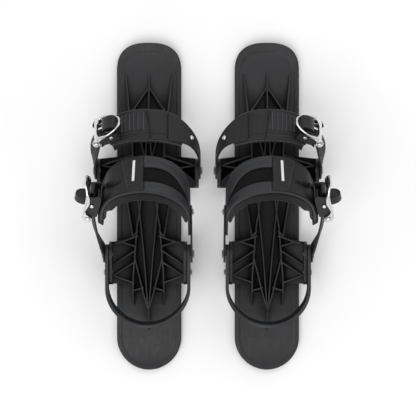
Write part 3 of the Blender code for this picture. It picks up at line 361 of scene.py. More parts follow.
# ----------------------------------------------------------------- materials
class Shader:
    def __init__(self, name):
        self.material = bpy.data.materials.new(name)
        self.material.use_nodes = True
        self.tree = self.material.node_tree

    def put(self, socket, value):
        if isinstance(value, bpy.types.NodeSocket):
            self.tree.links.new(value, socket)
        else:
            socket.default_value = value

    def add(self, kind, inputs, **props):
        """The outputs of a new node with these properties and inputs."""
        node = self.tree.nodes.new("ShaderNode" + kind)
        for name, value in props.items():
            setattr(node, name, value)
        for key, value in inputs.items():
            self.put(node.inputs[key], value)
        return node.outputs

    def math(self, operation, first, second=0.0):
        return self.add("Math", {0: first, 1: second}, operation=operation)[0]

    def total(self, *terms):
        """Sum of sockets and (socket, weight) pairs."""
        terms = [self.math("MULTIPLY", *t) if isinstance(t, tuple) else t for t in terms]
        return reduce(lambda a, b: self.math("ADD", a, b), terms)

    def wave(self, value, pitch):
        return self.math("SINE", self.math("MULTIPLY", value, 2 * math.pi / pitch))

    def coords(self):
        return self.add("TexCoord", {})["Object"]

    def noise(self, scale, detail, rough, stretch=None):
        vector = self.coords()
        if stretch:
            vector = self.add("Mapping", {"Vector": vector, "Scale": stretch})[0]
        return self.add("TexNoise", {"Vector": vector, "Scale": scale, "Detail": detail,
                                     "Roughness": rough})[0]

    def span(self, value, over, to=(0.0, 1.0)):
        return self.add("MapRange", {"Value": value, "From Min": over[0], "From Max": over[1],
                                     "To Min": to[0], "To Max": to[1]})[0]

    def mix(self, factor, first, second):
        return self.add("Mix", {0: factor, 6: first, 7: second}, data_type="RGBA")[2]

    def band(self):
        vector = self.add("Attribute", {}, attribute_name="band")["Vector"]
        return self.add("SeparateXYZ", {"Vector": vector})

    def bump(self, height, strength, distance, normal=None):
        inputs = {"Height": height, "Strength": strength, "Distance": distance}
        if normal is not None:
            inputs["Normal"] = normal
        return self.add("Bump", inputs)[0]

    def soft_normal(self, radius):
        return self.add("Bevel", {"Radius": radius}, samples=6)[0]

    def edge_mask(self, soft):
        """Where the softened normal leaves the face's own."""
        face = self.add("NewGeometry", {})["Normal"]
        dot = self.add("VectorMath", {0: soft, 1: face}, operation="DOT_PRODUCT")["Value"]
        return self.span(self.math("SUBTRACT", 1.0, dot), over=(0.004, 0.16))

    def finish(self, **values):
        for name, value in values.items():
            self.put(self.tree.nodes["Principled BSDF"].inputs[name.replace("_", " ")], value)
        return self.material


def tint(colour, times=1.0):
    return (*(c * times for c in colour), 1.0)


def moulded(name, colour, rough, grain, wear, mottle=0.35, edge=0.0009, spec=0.5, painted_shade_reach=0.0):
    """Plastic, clouded and flecked, with scuffed, paler edges; with a painted shade reach, painted shade
    darkens its hollows.
    """
    mat = Shader(name)
    normal = mat.soft_normal(edge)
    cloud = mat.noise(scale=26.0, detail=4.0, rough=0.6)
    fleck = mat.noise(scale=420.0, detail=3.0, rough=0.7)
    fine = mat.noise(scale=1700.0, detail=2.0, rough=0.6)
    scuffs = mat.noise(scale=60.0, detail=6.0, rough=0.75, stretch=(6.0, 0.7, 3.0))
    base = mat.mix(mat.span(cloud, over=(0.3, 0.7)),
                   tint(colour, 1 - mottle / 2), tint(colour, 1 + mottle))
    base = mat.mix(mat.span(fleck, over=(0.62, 0.75), to=(0.0, 0.25)), base, tint(colour, 2.0))
    worn = mat.math("MULTIPLY", mat.edge_mask(normal),
                    mat.span(scuffs, over=(0.35, 0.62), to=(0.25, 1.0)))
    base = mat.mix(mat.math("MULTIPLY", worn, 0.75), base, tint(colour, 1.0 + wear))
    roughness = mat.total(mat.span(fleck, over=(0.3, 0.7), to=(rough - 0.06, rough + 0.08)),
                          mat.span(scuffs, over=(0.45, 0.7), to=(0.05, -0.07)))
    height = mat.total((fine, 0.6), (fleck, 0.8))
    normal = mat.bump(height, strength=0.35 * grain, distance=0.00022, normal=normal)
    if painted_shade_reach:
        # painted shade: the bottoms of the pans stay darker than the open faces, as ambient occlusion
        # darkens the base colour and lowers the specular level there
        sky = mat.add("AmbientOcclusion", {"Distance": painted_shade_reach}, samples=8)[1]
        base = mat.mix(mat.span(sky, over=(0.25, 0.8), to=(1.0, 0.0)), base, tint(colour, 0.3))
        spec = mat.span(sky, over=(0.25, 0.8), to=(spec * 0.45, spec))
    return mat.finish(Base_Color=base, Roughness=roughness, Normal=normal, Specular_IOR_Level=spec)


def strap_skin(name, colour):
    """Satin plastic with a fine pebble grain, faint lines along it, and the
    band's tone: black at 0, plain at 1, pale at 2. The tone gives panel colours,
    and also a painted highlight on the toe ridges and painted shade in the ankle slit."""
    mat = Shader(name)
    normal = mat.soft_normal(0.0007)
    pebble = mat.add("TexVoronoi", {"Vector": mat.coords(), "Scale": 950.0},
                     feature="DISTANCE_TO_EDGE")[0]
    fine = mat.noise(scale=1300.0, detail=2.0, rough=0.6)
    cloud = mat.noise(scale=34.0, detail=4.0, rough=0.6)
    _, across, tone = mat.band()
    lines = mat.wave(across, pitch=1.45)
    base = mat.mix(mat.span(cloud, over=(0.3, 0.7)), tint(colour, 0.82), tint(colour, 1.3))
    base = mat.mix(mat.span(pebble, over=(0.0, 0.12), to=(0.35, 0.0)), base, tint(colour, 0.55))
    worn = mat.math("MULTIPLY", mat.edge_mask(normal),
                    mat.span(fine, over=(0.3, 0.7), to=(0.35, 0.8)))
    base = mat.mix(worn, base, tint(colour, 2.6))
    # tone under 1 darkens towards black: panel colour, and painted shade in the ankle strap's slit
    base = mat.mix(mat.span(tone, over=(1.0, 0.0)), base, (0.0, 0.0, 0.0, 1.0))
    # tone over 1 pales: panel colour, and a painted highlight on the toe shell's ridge crests
    base = mat.mix(mat.span(tone, over=(1.0, 2.0)), base, tint(colour, 5.2))
    height = mat.total((mat.span(pebble, over=(0.0, 0.15)), 0.7), (lines, 0.16), (fine, 0.3))
    return mat.finish(Base_Color=base, Roughness=mat.span(cloud, over=(0.3, 0.7), to=(0.43, 0.57)),
                      Normal=mat.bump(height, strength=0.45, distance=0.00016, normal=normal),
                      Specular_IOR_Level=0.32)


def woven(name, colour, thread, pitch, rough, depth, ticks=False, sheen=0.25):
    """Plain weave, its yarns running along and across the strap."""
    mat = Shader(name)
    along, across, _ = mat.band()
    jitter = mat.math("MULTIPLY", mat.noise(scale=140.0, detail=2.0, rough=0.5), 0.9)
    over = mat.math("MULTIPLY", mat.wave(mat.total(along, jitter), pitch),
                    mat.wave(mat.total(across, jitter), pitch))
    yarn = mat.math("ABSOLUTE", over)
    lint = mat.noise(scale=900.0, detail=3.0, rough=0.7)
    cloud = mat.noise(scale=40.0, detail=3.0, rough=0.6)
    heights = [(yarn, 0.8), (over, 0.4), (lint, 0.35)]
    if ticks:
        heights.append((mat.wave(along, pitch=2.1), 0.9))
    base = mat.mix(mat.span(over, over=(-0.6, 0.8)), tint(colour), tint(thread))
    base = mat.mix(mat.span(cloud, over=(0.35, 0.7), to=(0.0, 0.4)), base, tint(thread, 1.3))
    base = mat.mix(mat.span(lint, over=(0.66, 0.8), to=(0.0, 0.5)), base, tint(thread, 2.2))
    return mat.finish(
        Base_Color=base, Roughness=mat.span(lint, over=(0.3, 0.7), to=(rough - 0.1, rough + 0.08)),
        Normal=mat.bump(mat.total(*heights), strength=0.7, distance=depth),
        Sheen_Weight=sheen, Sheen_Roughness=0.5, Specular_IOR_Level=0.3)


def mesh_cloth(name, colour, thread, pitch):
    """Open spacer mesh: small round pits in rows."""
    mat = Shader(name)
    along, across, _ = mat.band()
    place = mat.add("CombineXYZ", {"X": along, "Y": across, "Z": 0.0})[0]
    cells = mat.add("TexVoronoi", {"Vector": place, "Scale": 1.0 / pitch, "Randomness": 0.12},
                    feature="F1")[0]
    pit = mat.span(cells, over=(0.22, 0.36))
    lint = mat.noise(scale=1100.0, detail=3.0, rough=0.7)
    base = mat.mix(pit, tint(colour, 0.25), tint(thread))
    base = mat.mix(mat.span(lint, over=(0.6, 0.8), to=(0.0, 0.5)), base, tint(thread, 1.8))
    normal = mat.bump(mat.total(pit, (lint, 0.3)), strength=0.8, distance=0.0005)
    return mat.finish(Base_Color=base, Roughness=0.85, Normal=normal, Specular_IOR_Level=0.12)


def bright_metal(name, colour, rough, scratch, cast=0.0):
    """Metal with hairline scratches both ways, smears, and a cast unevenness."""
    mat = Shader(name)
    soft = mat.soft_normal(0.0006)
    hair = mat.noise(scale=380.0, detail=4.0, rough=0.7, stretch=(9.0, 1.0, 1.0))
    cross_hair = mat.noise(scale=300.0, detail=4.0, rough=0.7, stretch=(1.0, 8.0, 2.0))
    cloud = mat.noise(scale=45.0, detail=4.0, rough=0.6)
    smear = mat.noise(scale=120.0, detail=5.0, rough=0.7)
    base = mat.mix(mat.span(cloud, over=(0.3, 0.7)), tint(colour, 0.86), tint(colour))
    base = mat.mix(mat.span(smear, over=(0.58, 0.75), to=(0.0, 0.4)), base, tint(colour, 0.62))
    roughness = mat.total(
        mat.span(hair, over=(0.4, 0.65), to=(rough - 0.05, rough + 0.12 * scratch)),
        mat.span(smear, over=(0.4, 0.7), to=(0.0, 0.08)))
    heights = [hair, (cross_hair, 0.7)]
    if cast:
        heights.append((smear, cast))
    normal = mat.bump(mat.total(*heights), strength=0.12 * scratch, distance=0.0001, normal=soft)
    return mat.finish(Base_Color=base, Metallic=1.0, Roughness=roughness, Normal=normal)


# finish: (material, slot, angle in degrees from which edges are sharp)
FINISHES = {
    # the ski's plastic gets painted shade in the hollows of its pans
    "ski": (moulded("ski_nylon", (0.0150, 0.0155, 0.0172), rough=0.45, grain=1.0, wear=2.6,
                    edge=0.0012, spec=0.34, painted_shade_reach=0.03), "ski_plastic", 32),
    "hoop": (moulded("hoop_nylon", (0.0160, 0.0165, 0.0182), rough=0.40, grain=0.9, wear=2.2,
                     spec=0.4), "hoop_plastic", 40),
    "strap": (strap_skin("strap_rubber", (0.0104, 0.0107, 0.0118)), "strap_rubber", 38),
    "ladder": (moulded("ladder_urethane", (0.0120, 0.0124, 0.0138), rough=0.38, grain=1.3,
                       wear=2.4, edge=0.0005, spec=0.42), "ladder_plastic", 34),
    "buckle": (moulded("buckle_nylon", (0.0085, 0.0087, 0.0098), rough=0.33, grain=1.2,
                       wear=2.4, edge=0.0007, spec=0.42), "buckle_plastic", 34),
    "tab": (moulded("tab_nylon", (0.0070, 0.0070, 0.0080), rough=0.30, grain=1.0, wear=2.4,
                    spec=0.42), "buckle_plastic", 34),
    "pad": (woven("pad_weave", (0.0050, 0.0050, 0.0056), thread=(0.0115, 0.0118, 0.0130),
                  pitch=1.15, rough=0.8, depth=0.00028, ticks=True, sheen=0.08),
            "pad_fabric", 80),
    "piping": (woven("piping_weave", (0.0125, 0.0127, 0.0140), thread=(0.034, 0.035, 0.0385),
                     pitch=0.8, rough=0.62, depth=0.00016), "pad_fabric", 80),
    "window": (mesh_cloth("window_mesh", (0.0030, 0.0030, 0.0033),
                          thread=(0.0072, 0.0073, 0.0080), pitch=1.7), "pad_fabric", 80),
    "thread": (woven("stitch_thread", (0.018, 0.018, 0.020), thread=(0.045, 0.046, 0.050),
                     pitch=0.5, rough=0.7, depth=0.0001), "pad_fabric", 80),
    "print": (moulded("print_white", (0.72, 0.72, 0.72), rough=0.5, grain=0.4, wear=0.0,
                      mottle=0.06), "strap_rubber", 60),
    "lever": (bright_metal("lever_aluminium", (0.86, 0.865, 0.88), rough=0.13, scratch=1.0,
                           cast=0.5), "lever_metal", 36),
    "pin": (bright_metal("pin_steel", (0.88, 0.885, 0.90), rough=0.2, scratch=0.8),
            "pin_steel", 38),
    "bolt": (bright_metal("bolt_steel", (0.30, 0.305, 0.32), rough=0.3, scratch=1.0),
             "pin_steel", 38),
}
SPRING_WIRE = bright_metal("spring_wire", (0.6, 0.6, 0.62), rough=0.25, scratch=0.8)


def publish(shape, name, body, finish, replaces=None, slot=None):
    """The finished piece on both skis, riding on a body of each."""
    material, usual_slot, sharp = FINISHES[finish]
    for side in ("left", "right"):
        bm = bmesh.new()
        bm.from_mesh(shape.data)
        for v in bm.verts:
            v.co.x -= SPACING * MM
            if side == "right":
                v.co.x = -v.co.x
        if side == "right":
            bmesh.ops.reverse_faces(bm, faces=bm.faces)
        me = bpy.data.meshes.new(f"{side}_{name}")
        bm.to_mesh(me)
        bm.free()
        me.shade_smooth()
        me.set_sharp_from_angle(angle=RAD(sharp))
        me.materials.append(material)
        ob = link(bpy.data.objects.new(f"{side}_{name}", me))
        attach(ob, f"{side}_{body}")
        slot or usual_slot
        if replaces:
            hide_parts(f"{side}_{replaces}")
    drop(shape)


# ------------------------------------------------------------------ ski body
def half_width(y):
    return (HALF_WIDTH * taper(y, TIP_START, HALF_LENGTH - TIP_START + 0.05, 2.6, 2.6)
            * taper(-y, -TAIL_START, HALF_LENGTH + TAIL_START + 0.05, 2, 2))


def base_height(y):
    if y > 150:
        return TIP_RISE * ((y - 150) / 50) ** 2
    if y < -175:
        return TAIL_RISE * ((-175 - y) / 25) ** 2
    return 0.0


def deck_thickness(y):
    if y > 150:
        return DECK_THICK + (TIP_THICK - DECK_THICK) * (y - 150) / 50
    if y < -160:
        return DECK_THICK + (TIP_THICK - DECK_THICK) * (-160 - y) / 40
    return DECK_THICK


def tip_places(count):
    return TIP_START + (HALF_LENGTH - TIP_START) * np.sin(np.linspace(0, math.pi / 2, count))


def tail_places(count):
    return TAIL_START - (HALF_LENGTH + TAIL_START) * np.sin(np.linspace(math.pi / 2, 0, count))


OUTLINE = np.array([(half_width(y), y) for y in np.concatenate(
    [tail_places(160), np.linspace(TAIL_START, TIP_START, 120)[1:-1], tip_places(160)])])


def edge_distance(x, y):
    return float(np.sqrt(((OUTLINE - (abs(x), y)) ** 2).sum(1)).min())


def deck_top(x, y, width):
    """Height of the deck: rounded edge, raised border, and a dished tip rim."""
    edge = edge_distance(x, y) if width > 0.3 else 0.0
    z = base_height(y) + deck_thickness(y)
    rim = ramp(160, 190, y)
    border = BORDER + 4.0 * rim
    z -= BORDER_STEP * (1 + 0.6 * rim) * ramp(border, border + 1.6 + 1.2 * rim, edge)
    z -= edge_drop(edge, 1.3)
    z += rim * 0.5 * ramp(border, 0.0, edge)
    return z


# distances in from the ski's edge at which the deck has points
DECK_INSETS = [0.0, 0.12, 0.35, 0.75, 1.3, 2.4, 3.6, 4.6, 5.0, 5.3, 5.7, 6.1, 7.0, 8.2, 9.4, 10.0,
               10.7, 11.6, 13.0, 16.0, 20.0, 26.0, 33.0]


def deck():
    middle = [np.linspace(TAIL_START, 150, 8), np.linspace(150, TIP_START, 10)]
    places = np.concatenate([tail_places(40), *middle, tip_places(46)])
    rings = []
    for y in sorted(set(round(float(y), 4) for y in places)):
        width = half_width(y)
        bottom = base_height(y)
        squeeze = width / HALF_WIDTH if width < HALF_WIDTH - 0.01 else 1.0
        if width > 38:
            xs = [width - inset * squeeze for inset in DECK_INSETS]
        else:
            xs = [width * (1 - inset / HALF_WIDTH) for inset in DECK_INSETS]
        right = [(width - min(1.6, width * 0.25), bottom),
                 (width - min(0.5, width * 0.1), bottom + 0.35), (width, bottom + 1.2)]
        right += [(x, max(bottom + 1.6, deck_top(x, y, width))) for x in xs]
        rings.append([(x, y, z) for x, z in right] + [(-x, y, z) for x, z in reversed(right)])
    return loft(rings)


def front_pan(x):
    return 5.0 + (x - 33.0) / 28.0 * 16.0


def rear_pan(x):
    return 10.5 + (x - 14.0) / 32.0 * 11.5


# Ribs on the +x side, mirrored to the other. Points are (x, y, top, foot);
# a missing top or foot is RIB_TOP or RIB_FOOT.
SIDE_RIBS = [
    [(28.8, 165.5, 8.0), (23.8, 117, 25), (19.3, 77), (18.9, 62)],
    [(0, 146, 14), (21, 113, 26.2)],
    [(19.5, 118, 25.5), (3.8, 57)],
    [(0, 110, RIB_TOP - 0.4), (3.8, 57)],
    [(3.8, 57), (10.7, -6.3)],
    [(18.9, 62), (10.7, -6.3)],
    [(10.7, -6.3), (13.7, -24), (16.7, -62.4), (18.4, -84), (18.8, -102), (18.3, -121, 8.4)],
    [(10.7, -6.3), (5.2, -62.4), (1.0, -118, RIB_TOP - 0.2)],
    [(16.7, -62.4), (5.6, -107), (0.5, -124, RIB_TOP - 0.3)],
    [(29, 23, 8.6), (26, 8, 22), (18.8, -36.5)],
    [(18.8, -102), (6.9, -98.5, RIB_TOP - 0.3)],
    [(18.8, -36.5), (13.7, -30)],
    [(18.9, 62, RIB_TOP, 6.0), (55, 49.5, 38, front_pan(55))],
    [(18.9, 50, RIB_TOP, 6.0), (37, 46.6, 30, front_pan(37)), (55, 31.0, 38, front_pan(55))],
    [(37, 46.6, 30, front_pan(37)), (54, 49.0, 36, front_pan(54))],
    [(13.7, -36, RIB_TOP, 8), (42.5, -46.5, 30, rear_pan(42.5))],
    [(16.3, -48, RIB_TOP, 10), (33, -42.8, RIB_TOP + 0.6, rear_pan(33))],
    [(17, -54, RIB_TOP, 10), (42.5, -70.2, 30, rear_pan(42.5))],
    [(18, -68, RIB_TOP, 10), (42.5, -83.4, 30, rear_pan(42.5)), (19.4, -92, RIB_TOP, 10)],
]
MIDDLE_RIBS = [
    [(0, 165.5, 8.2), (0, 108)],
    [(0, -120, RIB_TOP - 0.6), (0, -127, RIB_TOP - 0.6), (0, -152, 8.4)],
]
# half a rib's section: (part of its half-width, drop below its top)
RIB_SECTION = [(0.86, 0.75), (0.70, 0.22), (0.36, 0.0)]


def full_points(run):
    return [(*point, *(RIB_TOP, RIB_FOOT)[len(point) - 2 :]) for point in run]


def rib_run(points):
    out = []
    half = RIB_WIDTH / 2
    for start, end in zip(points[:-1], points[1:]):
        along = Vector((end[0] - start[0], end[1] - start[1]))
        length = along.length
        along /= length
        normal = Vector((-along.y, along.x))
        rings = []
        for point, way in ((start, -1), (end, 1)):
            overrun = way * half * 0.9 / length
            top = point[2] + (end[2] - start[2]) * overrun
            foot = point[3] + (end[3] - start[3]) * overrun
            centre = Vector((point[0], point[1])) + along * (way * half * 0.9)
            flank = [(1.12, foot)] + [(part, top - down) for part, down in RIB_SECTION]
            ring = []
            for part, z in flank + [(-part, z) for part, z in reversed(flank)]:
                place = centre + normal * (half * part)
                ring.append((place.x, place.y, z))
            rings.append(ring)
        out.append(loft(rings))
    return out


def rib_runs():
    """Every run, the side ones lowered by slightly different amounts so that
    no faces coincide."""
    runs = []
    for k, run in enumerate(SIDE_RIBS):
        low = 0.06 * (k % 7) + 0.03
        for side, extra in ((1, 0.0), (-1, 0.02)):
            runs.append([(side * x, y, top - low - extra, foot - low - extra)
                         for x, y, top, foot in full_points(run)])
    return runs + [full_points(run) for run in MIDDLE_RIBS]


SIDE_AXES = (Vector((0, 0, 0)), Vector((0, 1, 0)), Vector((1, 0, 0)), Vector((0, 0, 1)))


def side_plate(side, outline, near, far):
    """Upright plate across x from a (y, z) outline."""
    return prism(SIDE_AXES, outline, *sorted((side * near, side * far)), rim=0.6)


def block(bottom, top, side=1):
    """Six-faced solid between two faces, mirrored where side is -1."""
    return mesh_object([(side * x, y, z) for x, y, z in bottom + top],
                       [(3, 2, 1, 0), (4, 5, 6, 7), (0, 1, 5, 4), (1, 2, 6, 5), (2, 3, 7, 6),
                        (3, 0, 4, 7)])


# corners of the sloping pans on the +x side, bottom face then top face
FRONT_PAN = ([(31, 22.6, 2.4), (60.2, 22.6, 17.5), (60.2, 58.0, 17.5), (31, 62.0, 2.4)],
             [(31, 22.6, 6.6), (60.2, 22.6, 24.5), (60.2, 58.0, 24.5), (31, 62.0, 6.6)])
REAR_PAN = ([(13.5, -94.0, 5.0), (45.0, -94.0, 14.5), (45.0, -43.0, 14.5), (13.5, -37.5, 5.0)],
            [(13.5, -93.5, 15.5), (45.0, -93.5, 27.6), (45.0, -43.5, 27.6), (13.5, -38.0, 15.5)])
# (y, z) outlines of the upright plates
TOE_WALL = soften([(22.6, 17.8), (58.0, 17.8), (58.0, 38.0), (55.5, 45.0), (49.5, 50.5),
                   (37.0, 50.5), (30.0, 46.0), (22.6, 34.0)], 0.2)
HEEL_RAIL = soften([(-94.0, 15.0), (-43.0, 15.0), (-42.0, 34.0), (-46.0, 42.0), (-52.0, 45.6),
                    (-61.5, 45.6), (-68.0, 42.4), (-94.0, 41.4)], 0.15)
# low block behind the rear pans
REAR_BLOCK = ([(-21.5, -103.6, 5.0), (21.5, -103.6, 5.0), (17.5, -118.0, 5.0), (-17.5, -118.0, 5.0)],
              [(-21.0, -104.4, 9.4), (21.0, -104.4, 9.4), (17.0, -117.2, 9.4), (-17.0, -117.2, 9.4)])


def ski_body():
    parts = [deck()]
    for run in rib_runs():
        parts += rib_run(run)
    for side in (1, -1):
        parts += [block(*FRONT_PAN, side), side_plate(side, TOE_WALL, WALL_IN, WALL_OUT),
                  block(*REAR_PAN, side), side_plate(side, HEEL_RAIL, RAIL_IN, RAIL_OUT)]
    parts.append(block(*REAR_BLOCK))
    body = union(parts)
    cutters = []
    for side in (1, -1):
        cutters += [side_hole(side * WALL_MID, TOE_PIVOT, BOLT_R, 14),
                    side_hole(side * RAIL_MID, ANKLE_PIVOT, BOLT_R),
                    side_hole(side * RAIL_MID, HOOP_SCREW, SCREW_R)]
    return cut(body, cutters)


# ----------------------------------------------------------------- heel hoop
HOOP_REACH = 44.0  # of the arc behind the straight arms
HOOP_Z, HOOP_RISE = 38.0, 19.0
HOOP_END_HALVES = (3.0, 4.6, 6.4, 8.0, 9.0)  # half-heights from each end
HOOP_HALF = 9.2
ARM_PLACES = (-45.5, -46.2, -47.4, -49.5, -52.5, -60, -70, -80, -90, -98.0)


def heel_hoop():
    # centre line: (x, y, z, outward x, outward y)
    arm = [(HOOP_MID, y, HOOP_Z, 1.0, 0.0) for y in ARM_PLACES]
    line = list(arm)
    for degrees in range(4, 177, 4):
        angle = RAD(degrees)
        cos, sin = math.cos(angle), math.sin(angle)
        out_x, out_y = cos / HOOP_MID, -sin / HOOP_REACH
        size = math.hypot(out_x, out_y)
        line.append((HOOP_MID * cos, ARM_PLACES[-1] - HOOP_REACH * sin,
                     HOOP_Z + HOOP_RISE * sin**1.6, out_x / size, out_y / size))
    line += [(-x, y, z, -1.0, 0.0) for x, y, z, _, _ in reversed(arm)]
    thick = (HOOP_OUT - HOOP_IN) / 2
    rings = []
    for i, (x, y, z, out_x, out_y) in enumerate(line):
        from_end = min(i, len(line) - 1 - i)
        half = HOOP_END_HALVES[from_end] if from_end < len(HOOP_END_HALVES) else HOOP_HALF
        lean = 2.6 * max(0.0, min(1.0, (-98.0 - y) / 30.0))
        section = soften([
            (thick, -half + 0.4), (thick, half - 0.3), (thick - 0.3, half), (-thick + 0.3, half),
            (-thick, half - 0.5), (-thick - lean * 0.95, -half + 0.6),
            (-thick - lean + 0.5, -half), (thick - 0.4, -half)], 0.28)
        rings.append([(x + out_x * out, y + out_y * out, z + up) for out, up in section])
    hoop = loft(rings)
    cutters = []
    for side in (1, -1):
        cutters += [side_hole(side * HOOP_MID, ANKLE_PIVOT, BOLT_R),
                    side_hole(side * HOOP_MID, HOOP_SCREW, SCREW_R)]
    return cut(hoop, cutters)


# --------------------------------------------------------------- strap bands
# A station function turns a place along a strap (pos) into the centre of its
# base surface, the direction across it (to the front) and the outward one.
# pos is an angle on the toe strap and millimetres on the ankle strap. It
# grows from the medial side (+x) over the top to the lateral side.
def toe_arch(pos):
    """x, and the distance up from the pivots."""
    if pos <= 0:
        return TOE_HALF_SPAN, TOE_STRAIGHT + pos * TOE_LENGTH
    if pos >= math.pi:
        return -TOE_HALF_SPAN, TOE_STRAIGHT + (math.pi - pos) * TOE_LENGTH
    cos, sin = math.cos(pos), math.sin(pos)
    return (TOE_HALF_SPAN * math.copysign(abs(cos) ** (2 / TOE_EXPONENT), cos),
            TOE_STRAIGHT + (TOE_LENGTH - TOE_STRAIGHT) * sin ** (2 / TOE_EXPONENT))


def toe_station(pos):
    up_y, up_z = TOE_UP
    x, rise = toe_arch(pos)
    x0, rise0 = toe_arch(pos - 1e-3)
    x1, rise1 = toe_arch(pos + 1e-3)
    along = Vector((x1 - x0, up_y * (rise1 - rise0), up_z * (rise1 - rise0))).normalized()
    part = max(0.0, min(1.0, rise / TOE_LENGTH))
    angle = RAD(TOE_ANGLE_SIDE + (TOE_ANGLE_TOP - TOE_ANGLE_SIDE) * part)
    across = Vector((0, math.cos(angle), math.sin(angle)))
    centre = Vector((x, TOE_PIVOT[0] + up_y * rise, TOE_PIVOT[1] + up_z * rise))
    return centre, across, across.cross(along).normalized()


def ankle_station(pos):
    if pos <= ANKLE_LEG:
        x, rise, step_x, step_up = ANKLE_RADIUS, pos, 0.0, 1.0
    elif pos >= ANKLE_LEG + ANKLE_ARC:
        x, rise, step_x, step_up = -ANKLE_RADIUS, ANKLE_RUN - pos, 0.0, -1.0
    else:
        angle = (pos - ANKLE_LEG) / ANKLE_RADIUS
        x, rise = ANKLE_RADIUS * math.cos(angle), ANKLE_LEG + ANKLE_RADIUS * math.sin(angle)
        step_x, step_up = -math.sin(angle), math.cos(angle)
    up_y, up_z = ANKLE_UP
    along = Vector((step_x, up_y * step_up, up_z * step_up)).normalized()
    across = Vector((0, up_z, -up_y)).normalized()
    centre = Vector((x, ANKLE_PIVOT[0] + up_y * rise, ANKLE_PIVOT[1] + up_z * rise))
    return centre, across, across.cross(along).normalized()


TOE_PLACES = np.linspace(-0.6, math.pi + 0.6, 600)
TOE_RUNS = np.array(run_lengths([toe_station(float(pos))[0] for pos in TOE_PLACES]))


def toe_run(pos):
    return float(np.interp(pos, TOE_PLACES, TOE_RUNS))


def toe_pos(run):
    return float(np.interp(run, TOE_RUNS, TOE_PLACES))


def same(value):
    return value


def band_mesh(station, places, lines, outer, inner, hole=None, tone=None, run=same):
    """Closed sheet on a band. lines gives the places across at a pos; outer
    and inner give the offsets at (pos, across); hole is the (first line, last
    line, start, end) of an opening; tone is how light the outside is."""
    points, band = [], []
    for pos in places:
        centre, wide, outward = station(pos)
        row = lines(pos)
        for across in row:
            points.append(centre + wide * across + outward * inner(pos, across))
            points.append(centre + wide * across + outward * outer(pos, across))
            band += [(run(pos), across, 1.0),
                     (run(pos), across, tone(pos, across) if tone else 1.0)]
    count = len(row)

    def is_open(i, j):
        if not hole:
            return False
        first, last, start, end = hole
        return first <= j < last and places[i] >= start - 1e-6 and places[i + 1] <= end + 1e-6

    cells = {(i, j) for i in range(len(places) - 1) for j in range(count - 1) if not is_open(i, j)}

    def point(i, j, side):
        return (i * count + j) * 2 + side

    faces = []
    for i, j in cells:
        around = ((i, j), (i + 1, j), (i + 1, j + 1), (i, j + 1))
        a, b, c, d = around
        faces.append(tuple(point(*corner, 1) for corner in around))
        faces.append(tuple(point(*corner, 0) for corner in (a, d, c, b)))
        for step_i, step_j, start, end in ((-1, 0, a, d), (1, 0, b, c), (0, -1, a, b), (0, 1, d, c)):
            if (i + step_i, j + step_j) not in cells:
                faces.append((point(*start, 0), point(*end, 0), point(*end, 1), point(*start, 1)))
    return mesh_object(points, faces, band)


NEAR = (0.0, 0.1, 0.3, 0.6, 1.0)  # crowded places next to an edge


def spread(low, high, count, near=NEAR):
    """Places across a strap between two edges, crowded at both."""
    crowd = [min(dist, (high - low) * 0.2) for dist in near]
    start, end = low + crowd[-1], high - crowd[-1]
    return ([low + dist for dist in crowd]
            + [start + (end - start) * (k / count) for k in range(1, count)]
            + [high - dist for dist in reversed(crowd)])


def spread_gap(low, gap_low, gap_high, high, counts):
    """Places across a strap that has an opening."""
    return (spread(low, gap_low, counts[0])
            + [gap_low + (gap_high - gap_low) * (k / counts[1]) for k in range(1, counts[1])]
            + spread(gap_high, high, counts[2]))


def opening(counts, start, end):
    """The hole for band_mesh that matches spread_gap."""
    first = 2 * len(NEAR) - 2 + counts[0]
    return first, first + counts[1], start, end


def fine_steps(start, end, step, marks=(), near=NEAR):
    """Places along a strap: crowded at both ends, with extra marks."""
    count = max(2, int(abs(end - start) / step))
    places = [start + dist for dist in near] + [end - dist for dist in near]
    places += [start + (end - start) * k / count for k in range(1, count)]
    places = sorted(places + list(marks))
    out = [places[0]]
    for place in places[1:]:
        if place - out[-1] <= 0.04:
            if place not in marks:
                continue
            out.pop()
        out.append(place)
    return out


def lug_half(place, end, radius, full):
    """Half-width of a strap that ends in a round lug."""
    dist = abs(place - end)
    if dist >= radius:
        return full
    return max(0.5, math.sqrt(max(0.0, radius**2 - (radius - dist) ** 2)) * full / radius)


def screw_hole(station, pos):
    centre, _, outward = station(pos)
    return cylinder(tuple(centre + outward * 2.0), tuple(outward), SCREW_R + HOLE_GAP, 12)


# ----------------------------------------------------------------- toe strap
# (degrees, place across), front edges positive
toe_pad_front = spline(by_degrees(
    (46, 14.5), (54, 19.6), (62, 21.4), (76, 21.8), (104, 21.8), (118, 21.8), (126, 21.0),
    (134, 17.0)))
toe_pad_rear = spline(by_degrees(
    (46, -14.5), (54, -19.6), (62, -21.4), (76, -21.8), (104, -21.8), (113, -22.8),
    (122, -25.6), (127, -26.4), (134, -23.0)))
# the shell's ends run on as narrow tongues under the connector and the buckle
toe_shell_front = spline(by_degrees(
    (25, 7.0), (38, 9.6), (46, 12.0), (54, 18.4), (62, 20.4), (76, 20.9), (104, 20.9),
    (118, 20.8), (126, 19.4), (134, 13.0), (142, 10.0), (149, 8.5)))
TOE_SHELL_ENDS = toe_run(RAD(25)), toe_run(RAD(149))
toe_connector_half = spline([(-0.16, 10.4)] + by_degrees(
    (0, 10.4), (25, 11.2), (38, 13.0), (54, 16.2), (69, 19.0)))
TOE_SCREW = RAD(35.5)


def toe_shell_rear(pos):
    notch = 2.3 * plateau(pos, RAD(48), RAD(60), RAD(126), RAD(136))
    return -(toe_shell_front(pos) - notch)


def toe_crest(degrees):
    """Row of cross ribs on the shell's panel."""
    return max(0.0, math.cos(2 * math.pi * (degrees - 92.0) / 4.62))


